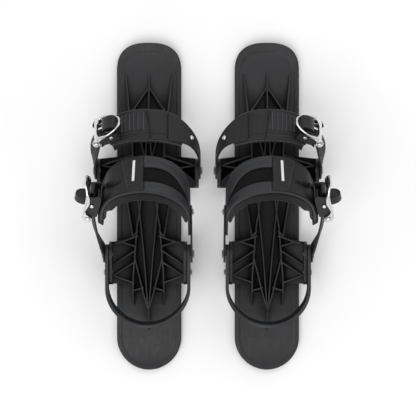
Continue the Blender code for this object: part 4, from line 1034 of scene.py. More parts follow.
def toe_tone(pos, across):
    angle = math.degrees(pos)
    field = plateau(across, -6.4, -4.8, 16.2, 17.6) * plateau(angle, 89.0, 90.0, 117.4, 118.6)
    # slightly paler over the sunken panel, and much paler on each ridge's crest: the crest lightening is a
    # painted highlight
    return 1.0 + field * (0.85 * toe_crest(angle) + 0.12)


def toe_relief(angle, across):
    """Panel, ribs, seam and grooves on the shell's outside; angle in degrees."""
    # sunken panel with ribs across it
    height = -0.75 * (plateau(angle, 88.4, 90.0, 117.8, 119.5)
                      * plateau(across, -7.2, -6.0, 17.4, 18.6))
    inside = plateau(across, -5.8, -4.4, 15.8, 17.2) * plateau(angle, 89.6, 90.2, 117.2, 118.0)
    height += inside * 1.75 * toe_crest(angle) ** 1.25
    # slanting seam with a low welt beside it
    seam = 87.0 + (across + 14.5) * 3.0 / 28.5
    height -= 1.1 * hill(angle, seam, 0.9)
    height += 0.35 * hill(angle, seam - 1.9, 1.0)
    # shallow flat on the medial side of the seam
    height -= 0.5 * (plateau(angle, 66.0, 67.4, seam - 3.4, seam - 2.2)
                     * plateau(across, -13.6, -12.2, 16.2, 17.6))
    # groove and welt along the rear
    groove = -9.8 - 0.02 * (angle - 90)
    height -= 0.9 * hill(across, groove, 0.9) * plateau(angle, 70.0, 73.0, 126.0, 130.0)
    height += 0.35 * hill(across, -12.6, 1.6) * plateau(angle, 70.0, 73.0, 122.0, 126.0)
    return height


def toe_shell():
    start, end = TOE_SHELL_ENDS

    def edge(pos, across):
        run = toe_run(pos)
        return min(across - toe_shell_rear(pos), toe_shell_front(pos) - across,
                   run - start, end - run)

    def outer(pos, across):
        dist = edge(pos, across)
        return (SHELL_T - edge_drop(dist, 0.95) + 0.6 * hill(dist, 2.0, 1.5)
                + toe_relief(math.degrees(pos), across))

    shell = band_mesh(toe_station, [toe_pos(run) for run in fine_steps(start, end, 0.55)],
                      lambda pos: spread(toe_shell_rear(pos), toe_shell_front(pos), 54), outer,
                      lambda pos, across: edge_drop(edge(pos, across), 0.6),
                      tone=toe_tone, run=toe_run)
    return cut(shell, [screw_hole(toe_station, TOE_SCREW)])


def toe_connector():
    lug = -TOE_STRAIGHT / TOE_LENGTH - 0.16
    start, end = toe_run(lug), toe_run(RAD(69))
    screw = toe_run(TOE_SCREW)

    def half(pos):
        full = lug_half(pos * TOE_LENGTH, lug * TOE_LENGTH, 10.4, toe_connector_half(pos))
        return full - edge_drop(end - toe_run(pos), 3.0)

    def edge(pos, across):
        run = toe_run(pos)
        return min(half(pos) - abs(across), end - run, (run - start) * 1.5 + 0.2)

    def outer(pos, across):
        run, dist = toe_run(pos), edge(pos, across)
        height = LIFT + STRAP_T - edge_drop(dist, 0.9)
        # sunken face inside a border, a cross welt, and a boss round the screw
        height -= 0.45 * ramp(2.4, 3.6, dist) * ramp(start + 20.0, start + 24.0, run)
        height += 0.35 * hill(run, end - 7.0, 0.9) * ramp(2.4, 3.4, half(pos) - abs(across))
        to_screw = math.hypot(run - screw, across)
        height += 0.45 * ramp(7.2, 6.0, to_screw) * ramp(2.4, 3.6, dist)
        return height

    strap = band_mesh(toe_station, [toe_pos(run) for run in fine_steps(start, end, 0.75)],
                      lambda pos: spread(-half(pos), half(pos), 30), outer,
                      lambda pos, across: LIFT + edge_drop(edge(pos, across), 0.6), run=toe_run)
    return cut(strap, [side_hole(TOE_HALF_SPAN + 3.6, TOE_PIVOT, BOLT_R),
                       screw_hole(toe_station, TOE_SCREW)])


# --------------------------------------------------------------- ankle strap
# (place along, place across), front edges positive
FAR_LEG = ANKLE_RUN - ANKLE_LEG
ankle_pad_front = spline([
    (58, 14), (72, 21), (ANKLE_LEG, 27), (106, 32), (118, 34), (206, 34), (218, 32),
    (FAR_LEG, 27), (ANKLE_RUN - 72, 21)])
ankle_pad_rear = spline([
    (58, -15), (72, -24), (ANKLE_LEG, -29), (106, -32), (118, -33), (206, -33), (218, -32),
    (FAR_LEG, -29), (ANKLE_RUN - 72, -24)])
ankle_shell_front = spline([
    (44, 11), (58, 13), (72, 19.5), (ANKLE_LEG, 25.5), (106, 30.5), (118, 32.6), (206, 32.6),
    (218, 30.5), (FAR_LEG, 23), (ANKLE_RUN - 72, 16), (ANKLE_RUN - 64, 13)])
ankle_shell_rear = spline([
    (44, -11), (58, -12.5), (72, -15), (ANKLE_LEG, -17.5), (106, -19.6), (118, -20.8),
    (140, -21.8), (165, -21.8), (185, -20.6), (206, -18.2), (218, -17.5), (FAR_LEG, -16.5),
    (ANKLE_RUN - 72, -14), (ANKLE_RUN - 64, -12)])
ANKLE_SHELL_START, ANKLE_SHELL_END = 44, ANKLE_RUN - 64
ANKLE_SCREW = 76.0
WINDOW_START, WINDOW_END = 94.3, 161.8
window_front = spline([(94, -2.0), (101, 0.9), (109, 3.6), (116, 7.5), (124, 11.6),
                       (132.5, 14.9), (144, 16.0), (162, 15.2)])
window_rear = spline([(94, -4.6), (100, -6.4), (113, -6.6), (124, -6.5), (143, -6.6),
                      (162, -7.6)])
ankle_connector_full = spline([(-10.5, 10.5), (40, 10.5), (62, 10.8), (74, 9.0), (80, 6.5),
                               (ANKLE_LEG, 3.6)])
ankle_slit = spline([(187, -2.2), (202, 1.0), (217, 3.4), (228, 2.2), (240, -2.0)])
# how far the shell's lateral end stands up towards the buckle's floor
ankle_rise = spline([(186, 0.0), (193, 1.6), (199, 3.6), (204, 4.4), (208, 4.1), (212, 3.2),
                     (216, 2.4), (220, 1.75), (224, 1.35), (228, 1.25), (232, 1.45),
                     (236, 2.0), (240, 2.8), (244, 3.6), (250, 4.3)])
ankle_tongue = spline([(186, 28.5), (195.5, 24.0), (208, 19.5), (220, 14.5), (232, 10.5),
                       (246, 8.5)])


def window_edge(curve, pos):
    return curve(min(max(pos, WINDOW_START), WINDOW_END))


def lateral_seam(across):
    return 180.3 + (across + 17.5) * 9.1 / 49.5


def medial_seam(across):
    return 161.5 + (across + 18.0) * 1.6 / 43.5


def ankle_patch(pos, across):
    """1 on the patch between the two seams."""
    medial, lateral = medial_seam(across), lateral_seam(across)
    return plateau(pos, medial - 0.2, medial + 0.8, lateral - 0.8, lateral + 0.2)


def rim_middles(pos):
    """Middles of the shell's strips in front of and behind its window."""
    return (0.5 * (window_front(pos) + ankle_shell_front(pos)),
            0.5 * (window_rear(pos) + ankle_shell_rear(pos)))


def ankle_relief(pos, across, edge, window):
    """Height on the shell's outside, given distances to its edge and window."""
    medial, lateral = medial_seam(across), lateral_seam(across)
    height = 0.62 * hill(edge, 2.0, 1.5) + 0.6 * hill(window, 2.0, 1.5)
    height += PATCH_RISE * ankle_patch(pos, across) * ramp(0.6, 1.8, edge)
    # grooves: place along, depth, half-width
    for centre, deep, half in (
            (medial - 0.6, 1.0, 0.9), (lateral + 0.6, 1.0, 0.9), (medial + 3.6, 0.5, 0.7),
            (lateral - 3.6, 0.5, 0.7), (medial - 4.2, 0.45, 0.8)):
        height -= deep * hill(pos, centre, half)
    # lateral end: a slit, a raised tongue in front of it, and a fold
    lateral_on = ramp(186.0, 188.5, pos)
    slit, tongue = ankle_slit(pos), ankle_tongue(pos)
    height -= lateral_on * 2.0 * hill(across, slit, 1.5)
    under = 1 - 0.6 * ramp(208, 212, pos)
    height += lateral_on * 0.8 * under * plateau(across, slit, slit + 1.4,
                                                 tongue - 0.9, tongue + 0.2)
    height -= lateral_on * 0.95 * ramp(tongue - 0.4, tongue + 0.6, across) * ramp(0.8, 2.6, edge)
    height -= lateral_on * 0.55 * hill(across, tongue + 4.4, 1.0) * ramp(1.4, 3.0, edge)
    # the rise under the buckle
    near = ramp(12.5, 8.5, abs(across - 1.0)) * ramp(204.0, 212.0, pos)
    far = (plateau(across, slit - 0.6, slit + 1.2, tongue - 2.2, tongue + 0.8)
           * ramp(212.0, 204.0, pos))
    height += ankle_rise(pos) * max(near, far) * ramp(0.2, 2.6, edge)
    # a groove along each strip beside the window
    front, rear = rim_middles(pos)
    height -= plateau(pos, 100, 108, 157, 160) * (
        0.75 * hill(across, front, 0.8) + 0.65 * hill(across, rear, 0.8))
    return height


def ankle_tone(pos, across):
    medial, lateral = medial_seam(across), lateral_seam(across)
    strip = ramp(medial - 0.6, medial - 1.6, pos) * ramp(86.0, 94.0, pos)
    lines = 0.0
    if pos < 160:
        lines = sum(hill(across, middle + offset, 0.7)
                    for offset in (-3.0, 0.0, 3.0) for middle in rim_middles(pos))
    # the slit's groove is darkened in colour: painted shade
    slit = hill(across, ankle_slit(pos), 1.7) * ramp(186.0, 188.5, pos)
    tone = (1.0 + 0.34 * strip - 0.2 * strip * lines - 0.36 * ankle_patch(pos, across)
            - 0.55 * ramp(lateral + 0.4, lateral + 1.4, pos))
    return max(0.12, tone - 0.32 * slit)


def ankle_shell():
    start, end = ANKLE_SHELL_START, ANKLE_SHELL_END
    counts = (13, 14, 18)  # steps behind, inside and in front of the window

    def edges(pos):
        corner = edge_drop(min(pos - start, end - pos), 4.0)
        return ankle_shell_rear(pos) + corner, ankle_shell_front(pos) - corner

    def gap(pos):
        return (max(ankle_shell_rear(pos) + 3.5, window_edge(window_rear, pos)),
                min(ankle_shell_front(pos) - 3.5, window_edge(window_front, pos)))

    def distances(pos, across):
        """To the shell's edge and to the window."""
        (rear, front), (gap_rear, gap_front) = edges(pos), gap(pos)
        side = max(0.0, gap_rear - across, across - gap_front)
        beyond = max(0.0, WINDOW_START - pos, pos - WINDOW_END)
        return (min(across - rear, front - across, pos - start, end - pos),
                math.hypot(beyond, side))

    def outer(pos, across):
        edge, window = distances(pos, across)
        height = SHELL_T - max(edge_drop(edge, 0.95), edge_drop(window, 0.9))
        return max(0.3 if min(edge, window) > 0.5 else -1.0,
                   height + ankle_relief(pos, across, edge, window))

    def inner(pos, across):
        edge, window = distances(pos, across)
        return max(edge_drop(edge, 0.6), edge_drop(window, 0.5))

    def lines(pos):
        rear, front = edges(pos)
        return spread_gap(rear, *gap(pos), front, counts)

    marks = [WINDOW_START - dist for dist in (0.9, 0.5, 0.2, 0.0)]
    marks += [WINDOW_END + dist for dist in (0.0, 0.2, 0.5, 0.9)]
    shell = band_mesh(ankle_station, fine_steps(start, end, 0.95, marks), lines, outer, inner,
                      hole=opening(counts, WINDOW_START, WINDOW_END), tone=ankle_tone)
    return cut(shell, [screw_hole(ankle_station, ANKLE_SCREW)])


def ankle_window():
    """Mesh panel that shows in the shell's opening, under its rim."""
    start, end = WINDOW_START + 0.3, WINDOW_END - 0.3

    def edges(pos):
        return window_edge(window_rear, pos) + 0.25, window_edge(window_front, pos) - 0.25

    def outer(pos, across):
        rear, front = edges(pos)
        dist = min(across - rear, front - across, pos - start, end - pos)
        return 0.35 + 0.95 * ramp(0.0, 5.0, dist)

    return band_mesh(ankle_station, fine_steps(start, end, 1.2),
                     lambda pos: spread(*edges(pos), 18), outer, lambda pos, across: -0.25)


def ankle_connector():
    start, end = -10.5, ANKLE_LEG

    def half(pos):
        full = lug_half(pos, start, 10.5, ankle_connector_full(pos))
        return full - edge_drop(end - pos, 3.5)

    def edge(pos, across):
        return min(half(pos) - abs(across), (pos - start) * 1.5 + 0.2, end - pos)

    def outer(pos, across):
        dist = edge(pos, across)
        sunk = 0.45 * ramp(2.4, 3.4, dist) * plateau(pos, 12.0, 15.0, 63.0, 66.0)
        return LIFT + STRAP_T - edge_drop(dist, 0.9) - sunk

    strap = band_mesh(ankle_station, fine_steps(start, end, 0.9),
                      lambda pos: spread(-half(pos), half(pos), 20), outer,
                      lambda pos, across: LIFT + edge_drop(edge(pos, across), 0.6))
    return cut(strap, [side_hole(ANKLE_RADIUS + 3.6, ANKLE_PIVOT, BOLT_R),
                       screw_hole(ankle_station, ANKLE_SCREW)])


def ankle_stripe():
    """Plain printed bar lying on the patch."""
    return band_mesh(
        ankle_station, [173.0 + 1.45 * k for k in (-1, -0.85, -0.5, 0, 0.5, 0.85, 1)],
        lambda pos: [-6.0 + 32.0 * k / 36 for k in range(37)],
        lambda pos, across: SHELL_T + PATCH_RISE + 0.22, lambda pos, across: SHELL_T + 0.25)


# ---------------------------------------------------------------------- pads
def coordinates(ob):
    return np.array([v.co for v in ob.data.vertices], float)


def puff(body, cap=3.0):
    """Foam pad: remeshed, inflated as cloth, its movement capped."""
    remesh = body.modifiers.new("remesh", "REMESH")
    remesh.mode, remesh.voxel_size = "VOXEL", 0.0032
    body = baked(body)
    rest = coordinates(body)
    cloth = body.modifiers.new("cloth", "CLOTH")
    settings = cloth.settings
    settings.use_pressure = True
    settings.uniform_pressure_force = 4.0
    settings.effector_weights.gravity = 0.0
    settings.tension_stiffness = settings.compression_stiffness = 18.0
    settings.shear_stiffness = 8.0
    settings.bending_stiffness = 0.6
    settings.mass = 0.3
    settings.quality = 5
    cloth.collision_settings.use_collision = False
    cloth.collision_settings.use_self_collision = False
    for f in range(1, 21):
        bpy.context.scene.frame_set(f)
    body = baked(body)
    bpy.context.scene.frame_set(1)
    move = coordinates(body) - rest
    size = np.linalg.norm(move, axis=1)
    capped = np.minimum(1.0, cap * MM / np.maximum(size, 1e-9))
    now = rest + move * capped[:, None]
    body.data.vertices.foreach_set("co", now.astype(np.float32).ravel())
    body.data.update()
    soft = body.modifiers.new("soft", "SMOOTH")
    soft.factor, soft.iterations = 0.5, 14
    subdivision = body.modifiers.new("sub", "SUBSURF")
    subdivision.levels = subdivision.render_levels = 1
    return baked(body)


def foam(station, places, edges, count, top, run=same):
    """Puffed sheet between the rear and front edges."""
    return puff(band_mesh(
        station, places, lambda pos: spread(*edges(pos), count, near=(0.0,)),
        lambda pos, across: top, lambda pos, across: -PAD_T + 0.8, run=run))


def settle_pad(pad, station, places, limit_out, limit_in, crease=None, run=same):
    """Keeps the puffed pad in its space, adds sewn creases and the place
    along the strap."""
    points = coordinates(pad) / MM
    centres, wides, outwards = (np.array([tuple(v) for v in column])
                                for column in zip(*map(station, places.tolist())))
    found = []
    for k in range(0, len(points), 2000):
        offset = points[k : k + 2000, None, :] - centres[None]
        sideways = (offset * wides[None]).sum(2)
        nearest = ((offset * offset).sum(2) - sideways**2).argmin(1)
        row = np.arange(len(nearest))
        height = (offset[row, nearest] * outwards[nearest]).sum(1)
        found.append(np.stack([nearest, sideways[row, nearest], height]))
    nearest, across, height = np.concatenate(found, 1)
    nearest = nearest.astype(int)
    place = places[nearest]

    def at_points(limit):
        return np.array([limit(*where) for where in zip(place, across)])

    high, low = at_points(limit_out), at_points(limit_in)
    want = np.clip(height, low, high)
    if crease:
        want = want - at_points(crease) * (want > (high + low) / 2)
    points = points + outwards[nearest] * (want - height)[:, None]
    pad.data.vertices.foreach_set("co", (points * MM).astype(np.float32).ravel())
    attributes = pad.data.attributes
    band = attributes.get("band") or attributes.new("band", "FLOAT_VECTOR", "POINT")
    rows = np.stack([[run(pos) for pos in place], across, height], 1)
    band.data.foreach_set("vector", rows.astype(np.float32).ravel())
    pad.data.update()
    return pad


def ankle_pad():
    start, end = 76.0, ANKLE_RUN - 72.0

    def edges(pos):
        inset = 1.0 + edge_drop(min(pos - start, end - pos), 9.0) * 0.9
        rear = ankle_pad_rear(pos) + 8.0 * ramp(202, 230, pos)
        return rear + inset, ankle_pad_front(pos) - inset

    def limit_out(pos, across):
        beyond = max(ankle_shell_rear(pos) - 0.8 - across, across - ankle_shell_front(pos) - 0.3)
        return -0.45 + 2.6 * ramp(0.0, 4.0, beyond)

    def limit_in(pos, across):
        thin = ramp(ANKLE_RUN - 112, ANKLE_RUN - 84, pos) + 0.6 * ramp(100, 82, pos)
        return -PAD_T - 0.9 + 3.5 * thin

    def crease(pos, across):
        return 0.8 * hill(across, ankle_pad_rear(pos) + 2.6, 1.3) * ramp(205, 195, pos)

    pad = foam(ankle_station, fine_steps(start + 0.8, end - 0.8, 3.0, near=(0.0,)), edges, 22,
               top=-0.9)
    return settle_pad(pad, ankle_station, np.linspace(60, ANKLE_RUN - 60, 500), limit_out,
                      limit_in, crease)


def toe_pad():
    start, end = toe_run(RAD(46)), toe_run(RAD(134))

    def edges(pos):
        run = toe_run(pos)
        inset = 0.7 + edge_drop(min(run - start, end - run), 7.0) * 0.8
        return toe_pad_rear(pos) + inset, toe_pad_front(pos) - 0.9 - inset

    def limit_out(pos, across):
        beyond = max(across - toe_shell_front(pos) - 0.2, toe_shell_rear(pos) - across - 1.2)
        return -0.55 + 1.6 * ramp(0.2, 2.4, beyond)

    runs = fine_steps(start + 0.8, end - 0.8, 3.0, near=(0.0,))
    pad = foam(toe_station, [toe_pos(run) for run in runs], edges, 16, top=-1.0, run=toe_run)
    return settle_pad(pad, toe_station, np.linspace(RAD(15), RAD(165), 500), limit_out,
                      lambda pos, across: -PAD_T - 0.8, run=toe_run)


# ------------------------------------------------------- piping and stitching
def tube(points, radius, sides, places):
    """Round cord through points; radius is a function of the part covered."""
    rings, bands = [], []
    up = Vector((0.3, 0.4, 0.86)).normalized()
    last = len(points) - 1
    for i, point in enumerate(points):
        along = (points[min(i + 1, last)] - points[max(i - 1, 0)]).normalized()
        up = (up - along * up.dot(along)).normalized()
        second = along.cross(up)
        reach = radius(i / last)
        angles = [2 * math.pi * k / sides for k in range(sides)]
        rings.append([tuple(point + (up * math.cos(a) + second * math.sin(a)) * reach)
                      for a in angles])
        bands.append([(places[i], 2 * math.pi * reach * k / sides, 0.0) for k in range(sides)])
    return loft(rings, bands)


def end_taper(part, radius, reach=0.012):
    inward = min(part, 1 - part) / reach
    if inward >= 1:
        return radius
    return max(0.12, radius * math.sqrt(max(0.0, 1 - (1 - inward) ** 2)))


def edge_cord(station, start, end, line, offset, radius, count, to_pos=same):
    """Cord along a line on a band."""
    runs = np.linspace(start, end, count).tolist()
    points = []
    for run in runs:
        pos = to_pos(run)
        centre, wide, outward = station(pos)
        points.append(centre + wide * line(pos) + outward * offset)
    return tube(points, lambda part: end_taper(part, radius), 10, runs)


STITCH, STITCH_GAP, THREAD_R = 2.1, 1.3, 0.32


def stitches(station, line, height):
    """Short thread capsules lying along a line of (pos, across) points."""
    points, normals = [], []
    for pos, across in line:
        centre, wide, outward = station(pos)
        points.append(centre + wide * across + outward * height(pos, across))
        normals.append(outward)
    runs = run_lengths(points)

    def sample(run):
        i, part = find_stretch(runs, run)
        return points[i].lerp(points[i + 1], part), normals[i]

    out = []
    run = 1.0
    while run + STITCH < runs[-1] - 0.5:
        start, start_out = sample(run)
        end, end_out = sample(run + STITCH)
        middle = (start + end) / 2 + start_out * 0.22
        path = [start - start_out * 0.15, start.lerp(middle, 0.5) + start_out * 0.06, middle,
                end.lerp(middle, 0.5) + end_out * 0.06, end - end_out * 0.15]
        out.append(tube(path, lambda part: THREAD_R * (0.55 + 0.45 * math.sin(math.pi * part)),
                        6, range(len(path))))
        run += STITCH + STITCH_GAP
    return out


def toe_piping():
    start, end = toe_run(RAD(48)), toe_run(RAD(132.5))
    return merge([
        edge_cord(toe_station, start, end, line, offset, radius, 220, toe_pos)
        for line, offset, radius in ((lambda pos: toe_pad_front(pos) - 0.75, -0.75, 1.05),
                                     (lambda pos: toe_shell_rear(pos) - 0.85, 0.75, 0.95))])


def ankle_piping():
    return merge([
        edge_cord(ankle_station, margin, ANKLE_RUN - margin, line, offset, 1.0, 260)
        for margin, line, offset in ((80, lambda pos: ankle_shell_rear(pos) - 0.9, 0.75),
                                     (84, lambda pos: ankle_pad_front(pos) - 0.3, -0.9))])


def ankle_stitching():
    out = []
    # seam, offset along from it, rear end of the line
    for seam, offset, rear in ((medial_seam, 1.9, -15.5), (lateral_seam, -1.9, -15.5),
                               (medial_seam, -2.4, 19.0)):
        line = [(seam(across) + offset, across) for across in np.linspace(rear, 29.0, 40)]
        out += stitches(ankle_station, line,
                        lambda pos, across: SHELL_T + ankle_relief(pos, across, 9.0, 9.0))
    return merge(out, keep_band=False)


# ------------------------------------------------------------------- buckles
def buckle_axes(which):
    """From the pins' joints: origin, forward, axle and up."""
    lever_joint = f"left_{which}_lever_open"
    lever, tab = joint_place(lever_joint), joint_place(f"left_{which}_tab_release")
    axis = Vector(JOINTS[lever_joint]["axis"]).normalized()
    axle = axis if axis.y > 0 else -axis
    between = tab - lever
    flat = (between - axle * between.dot(axle)).normalized()
    turn = math.atan2(TAB_PIN[1] - LEVER_PIN[1], TAB_PIN[0] - LEVER_PIN[0])
    side = axle.cross(flat).normalized()
    if side.x > 0:
        side = -side
    forward = flat * math.cos(turn) - side * math.sin(turn)
    up = flat * math.sin(turn) + side * math.cos(turn)
    origin = lever - forward * LEVER_PIN[0] - up * LEVER_PIN[1]
    return origin, forward.normalized(), axle, up.normalized()


def arc(centre, radius, start, end, count):
    angles = [RAD(start + (end - start) * k / count) for k in range(count + 1)]
    return [(centre[0] + radius * math.cos(a), centre[1] + radius * math.sin(a)) for a in angles]


def axle_cylinder(axes, place, radius, length, sides=28):
    origin, forward, axle, up = axes
    return cylinder(tuple(origin + forward * place[0] + up * place[1]), tuple(axle), radius,
                    length, sides)


def pin_cutter(axes, place, radius):
    return axle_cylinder(axes, place, radius + HOLE_GAP, 40)


def prism_pair(axes, outline, near, far, rim):
    return [prism(axes, outline, near, far, rim), prism(axes, outline, -far, -near, rim)]


def buckle_base(axes, length, nose):
    """Channel: floor, two cheeks and a cross bar."""
    cheek = soften([
        (2.6, 5.6), (2.0, 0.0), (length - nose, 0.0), (length + 1.6 - nose, 2.2),
        (length + 0.3, 7.0), (length - 0.6, 11.5), (length - 2.8 - nose, 14.2), (5.0, 14.9)],
        0.2, closed=False) + arc(LEVER_PIN, 4.9, 84, 262, 22)
    floor_outline = [(1.0, 0.0), (length - nose, 0.0), (length - nose, 1.6), (1.0, 1.6)]
    bar = soften([(6.0, 5.6), (12.0, 5.6), (12.0, 7.4), (6.0, 7.4)], 0.2)
    reach = CHEEK_IN + 0.8
    base = union([prism(axes, floor_outline, -reach, reach, 0.2, 1),
                  *prism_pair(axes, cheek, CHEEK_IN, CHEEK_OUT, 0.45),
                  prism(axes, bar, -reach, reach, 0.2, 1)])
    return cut(base, [pin_cutter(axes, LEVER_PIN, LEVER_PIN_R),
                      pin_cutter(axes, TAB_PIN, TAB_PIN_R)])


# (forward, up) middle lines of the lever plates
ANKLE_LEVER_PATH = [(2.0, 16.6), (12.0, 16.7), (24.0, 16.5), (32.0, 16.6), (38.0, 17.3),
                    (42.5, 18.8), (45.5, 20.8), (47.2, 23.2)]
TOE_LEVER_PATH = [(0.5, 16.4), (8.0, 16.9), (16.0, 17.0), (24.0, 16.8), (31.0, 16.2),
                  (36.8, 15.5)]


def lever_plate(axes, path, half, gap_half, gap_start, gap_end):
    """Plate along a path with an opening and rounded edges."""
    origin, forward, axle, up = axes
    curve = spline(path)
    start, end = path[0][0], path[-1][0]
    counts = (6, 6, 6)

    def station(pos):
        if pos <= start:
            run, rise = 1.0, 0.0
        elif pos >= end:
            run, rise = 1.0, curve(end) - curve(end - 1)
        else:
            run, rise = 0.6, curve(pos + 0.3) - curve(pos - 0.3)
        along = (forward * run + up * rise).normalized()
        return (origin + forward * pos + up * curve(pos), axle,
                (up - along * up.dot(along)).normalized())

    def gap(pos):
        return max(0.35, gap_half(pos))

    def distances(pos, across):
        """To the plate's edge and to the opening."""
        edge = min(half(pos) - abs(across), (pos - start) + 0.15, (end - pos) + 0.15)
        if gap_start <= pos <= gap_end:
            return edge, max(0, abs(across) - gap(pos))
        if abs(across) < gap(pos) + 1:
            return edge, max(gap_start - pos, pos - gap_end)
        return edge, 9.0

    def surface(pos, across):
        """Height of the upper face without its crown."""
        edge, inside = distances(pos, across)
        return 1.1 - max(edge_drop(edge, 0.95), edge_drop(inside, 0.95))

    def outer(pos, across):
        return surface(pos, across) + 0.24 * min(1.0, min(distances(pos, across)) / 2.2)

    marks = [gap_start + k for k in (-0.8, -0.4, -0.15, 0, 0.1, 0.35, 0.7)]
    marks += [gap_end + k for k in (-0.7, -0.35, -0.1, 0, 0.15, 0.4, 0.8)]
    return band_mesh(
        station, fine_steps(start, end, 0.8, marks),
        lambda pos: spread_gap(-half(pos), -gap(pos), gap(pos), half(pos), counts),
        outer, lambda pos, across: -surface(pos, across),
        hole=opening(counts, gap_start, gap_end))


NO_SKIRT = [(0, 0), (1, 0)]
LEVER_SKIRT = [(2.0, 0.0), (12.0, 3.0), (24.0, 3.2), (32.0, 2.4), (38.0, 0.8), (42.5, 0.0)]


def lever_arms(axes, path, end, skirt=NO_SKIRT):
    """The two arms from the plate down round the pin. skirt is how much
    deeper they hang, as (forward, depth) points."""
    path = [p for p in path if p[0] <= end]
    upper = [(x, z + 0.9) for x, z in path]
    lower = [(x, z - 0.95 - float(np.interp(x, *zip(*skirt)))) for x, z in path]
    x, z = path[0]
    outline = (upper[::-1] + arc(LEVER_PIN, 4.6, 112, 345, 26)
               + [(x + 4.2, z - 3.4), (x + 9.0, z - 1.2)] + lower[2:])
    return prism_pair(axes, outline, EAR_IN, EAR_OUT, 0.55)


def toe_lever(axes):
    def half(pos):
        full = 15.4 - 3.2 * ramp(14, 36, pos)
        return max(2.6, full * taper(pos, 16.0, 21.4, 2.5, 2.1) * taper(-pos, -12.0, 14.5, 3.2, 2.4))

    def gap_half(pos):
        full = 13.1 - 2.6 * ramp(14, 33, pos)
        return full * taper(pos, 17.0, 17.8, 2.4, 2.1) * taper(-pos, -13.0, 8.6, 2.8, 2.3)

    plate = lever_plate(axes, TOE_LEVER_PATH, half, gap_half, 4.7, 34.5)
    lever = union([plate] + lever_arms(axes, TOE_LEVER_PATH, 16.0))
    return cut(lever, [pin_cutter(axes, LEVER_PIN, LEVER_PIN_R)])


def ankle_lever(axes):
    def half(pos):
        return max(3.0, 15.4 - 6.4 * ramp(36, 48, pos) - edge_drop(47.3 - pos, 4.0))

    def gap_half(pos):
        return (11.2 - 4.0 * ramp(28, 41, pos)) * taper(abs(pos - 27.0), 0.0, 14.6, 4, 3)

    plate = lever_plate(axes, ANKLE_LEVER_PATH, half, gap_half, 12.7, 41.2)
    lever = union([plate] + lever_arms(axes, ANKLE_LEVER_PATH, 38.5, LEVER_SKIRT))
    return cut(lever, [pin_cutter(axes, LEVER_PIN, LEVER_PIN_R)])


# (forward, up) outlines of the tabs
ANKLE_TAB_ROOT = [(23.4, 6.6), (33.0, 7.2), (36.8, 9.0), (37.6, 11.4), (36.0, 13.6), (32.0, 14.2),
                  (23.4, 14.0)]
TOE_TAB = [(23.4, 8.6), (28.0, 8.6), (31.0, 11.5), (31.6, 17.5), (29.5, 21.2), (25.0, 22.8),
           (17.5, 22.4), (13.2, 20.0), (13.6, 15.6), (19.0, 13.6), (22.9, 12.4)]
TOE_TAB_HALF = 8.6
# the thumb piece is a D seen along the strap: (axle, up) points
ANKLE_THUMB = [(-7.0, 12.9), (7.0, 12.9), (8.0, 16.0), (8.2, 20.0), (7.0, 24.6), (4.0, 28.2),
               (0.0, 29.6), (-4.0, 28.2), (-7.0, 24.6), (-8.2, 20.0), (-8.0, 16.0)]
THUMB_START, THUMB_END = 15.2, 24.6


def toe_tab(axes):
    hub = arc(TAB_PIN, 3.1, 90, 270, 16) + [(23.5, 5.4), (26.5, 6.4), (27.5, 10.2), (22.0, 12.0)]
    tab = union([prism(axes, hub, -5.0, 5.0, 0.3, 2),
                 prism(axes, soften(TOE_TAB, 0.24), -TOE_TAB_HALF, TOE_TAB_HALF, 1.4, 4)])
    grooves = [axle_cylinder(axes, place, 0.75, 2 * TOE_TAB_HALF - 5.0, 14)
               for place in ((15.5, 22.4), (19.5, 23.2), (23.5, 23.4))]
    return cut(tab, [pin_cutter(axes, TAB_PIN, TAB_PIN_R)] + grooves)


def ankle_tab(axes):
    origin, forward, axle, up = axes
    hub = arc(TAB_PIN, 3.1, 110, 270, 16) + [(23.5, 5.4), (26.5, 6.8), (27.5, 10.2),
                                             (24.0, 13.6), (18.0, 13.6)]
    tab = union([prism(axes, hub, -5.0, 5.0, 0.3, 2),
                 prism(axes, soften(ANKLE_TAB_ROOT, 0.24), -8.0, 8.0, 0.9, 4),
                 prism((origin, axle, forward, up), soften(ANKLE_THUMB, 0.24),
                       THUMB_START, THUMB_END, 1.3, 4)])
    # grip grooves across the face that the thumb presses
    grooves = [axle_cylinder(axes, (THUMB_END, z), 0.7, 11.0 - 0.5 * (z - 17), 14)
               for z in (17.4, 20.2, 23.0, 25.8)]
    return cut(tab, [pin_cutter(axes, TAB_PIN, TAB_PIN_R)] + grooves)


def pawl_bracket(axes):
    """Pressed steel bracket inside the toe buckle: two low ears and a T plate."""
    ear = soften([(2.4, 14.2), (8.0, 13.8), (13.4, 11.4), (14.4, 9.4), (13.6, 8.0), (3.4, 8.0)], 0.2)
    bar = soften([(5.4, 11.0), (8.0, 11.4), (8.0, 12.7), (5.4, 12.3)], 0.2)
    stem = soften([(6.6, 11.3), (12.4, 12.9), (12.4, 14.0), (6.6, 12.5)], 0.2)
    return union([*prism_pair(axes, ear, 8.5, 9.7, 0.4), prism(axes, bar, -9.0, 9.0, 0.2, 2),
                  prism(axes, stem, -2.4, 2.4, 0.3, 3)])


def headed_pin(axes, place, head, sides, start=(), end=()):
    """Pin with a head at both ends; start and end are extra (place, radius)
    points at its two faces."""
    origin, forward, axle, up = axes
    profile = [(-reach, radius) for reach, radius in (*start, *head)] + head[::-1] + list(end)
    centre = origin + forward * place[0] + up * place[1]
    return turned(tuple(centre), tuple(axle), profile, sides)


def lever_pin(axes):
    seat = EAR_OUT + 0.35
    head = [(seat + 1.4, 2.2), (seat + 1.15, 2.9), (seat + 0.6, 3.25), (seat, 3.3),
            (seat, LEVER_PIN_R)]
    return headed_pin(axes, LEVER_PIN, head, 36, start=[(seat + 1.4, 0.9), (seat + 1.1, 1.0)],
                      end=[(seat + 1.4, 0.9), (seat + 1.05, 0.7)])


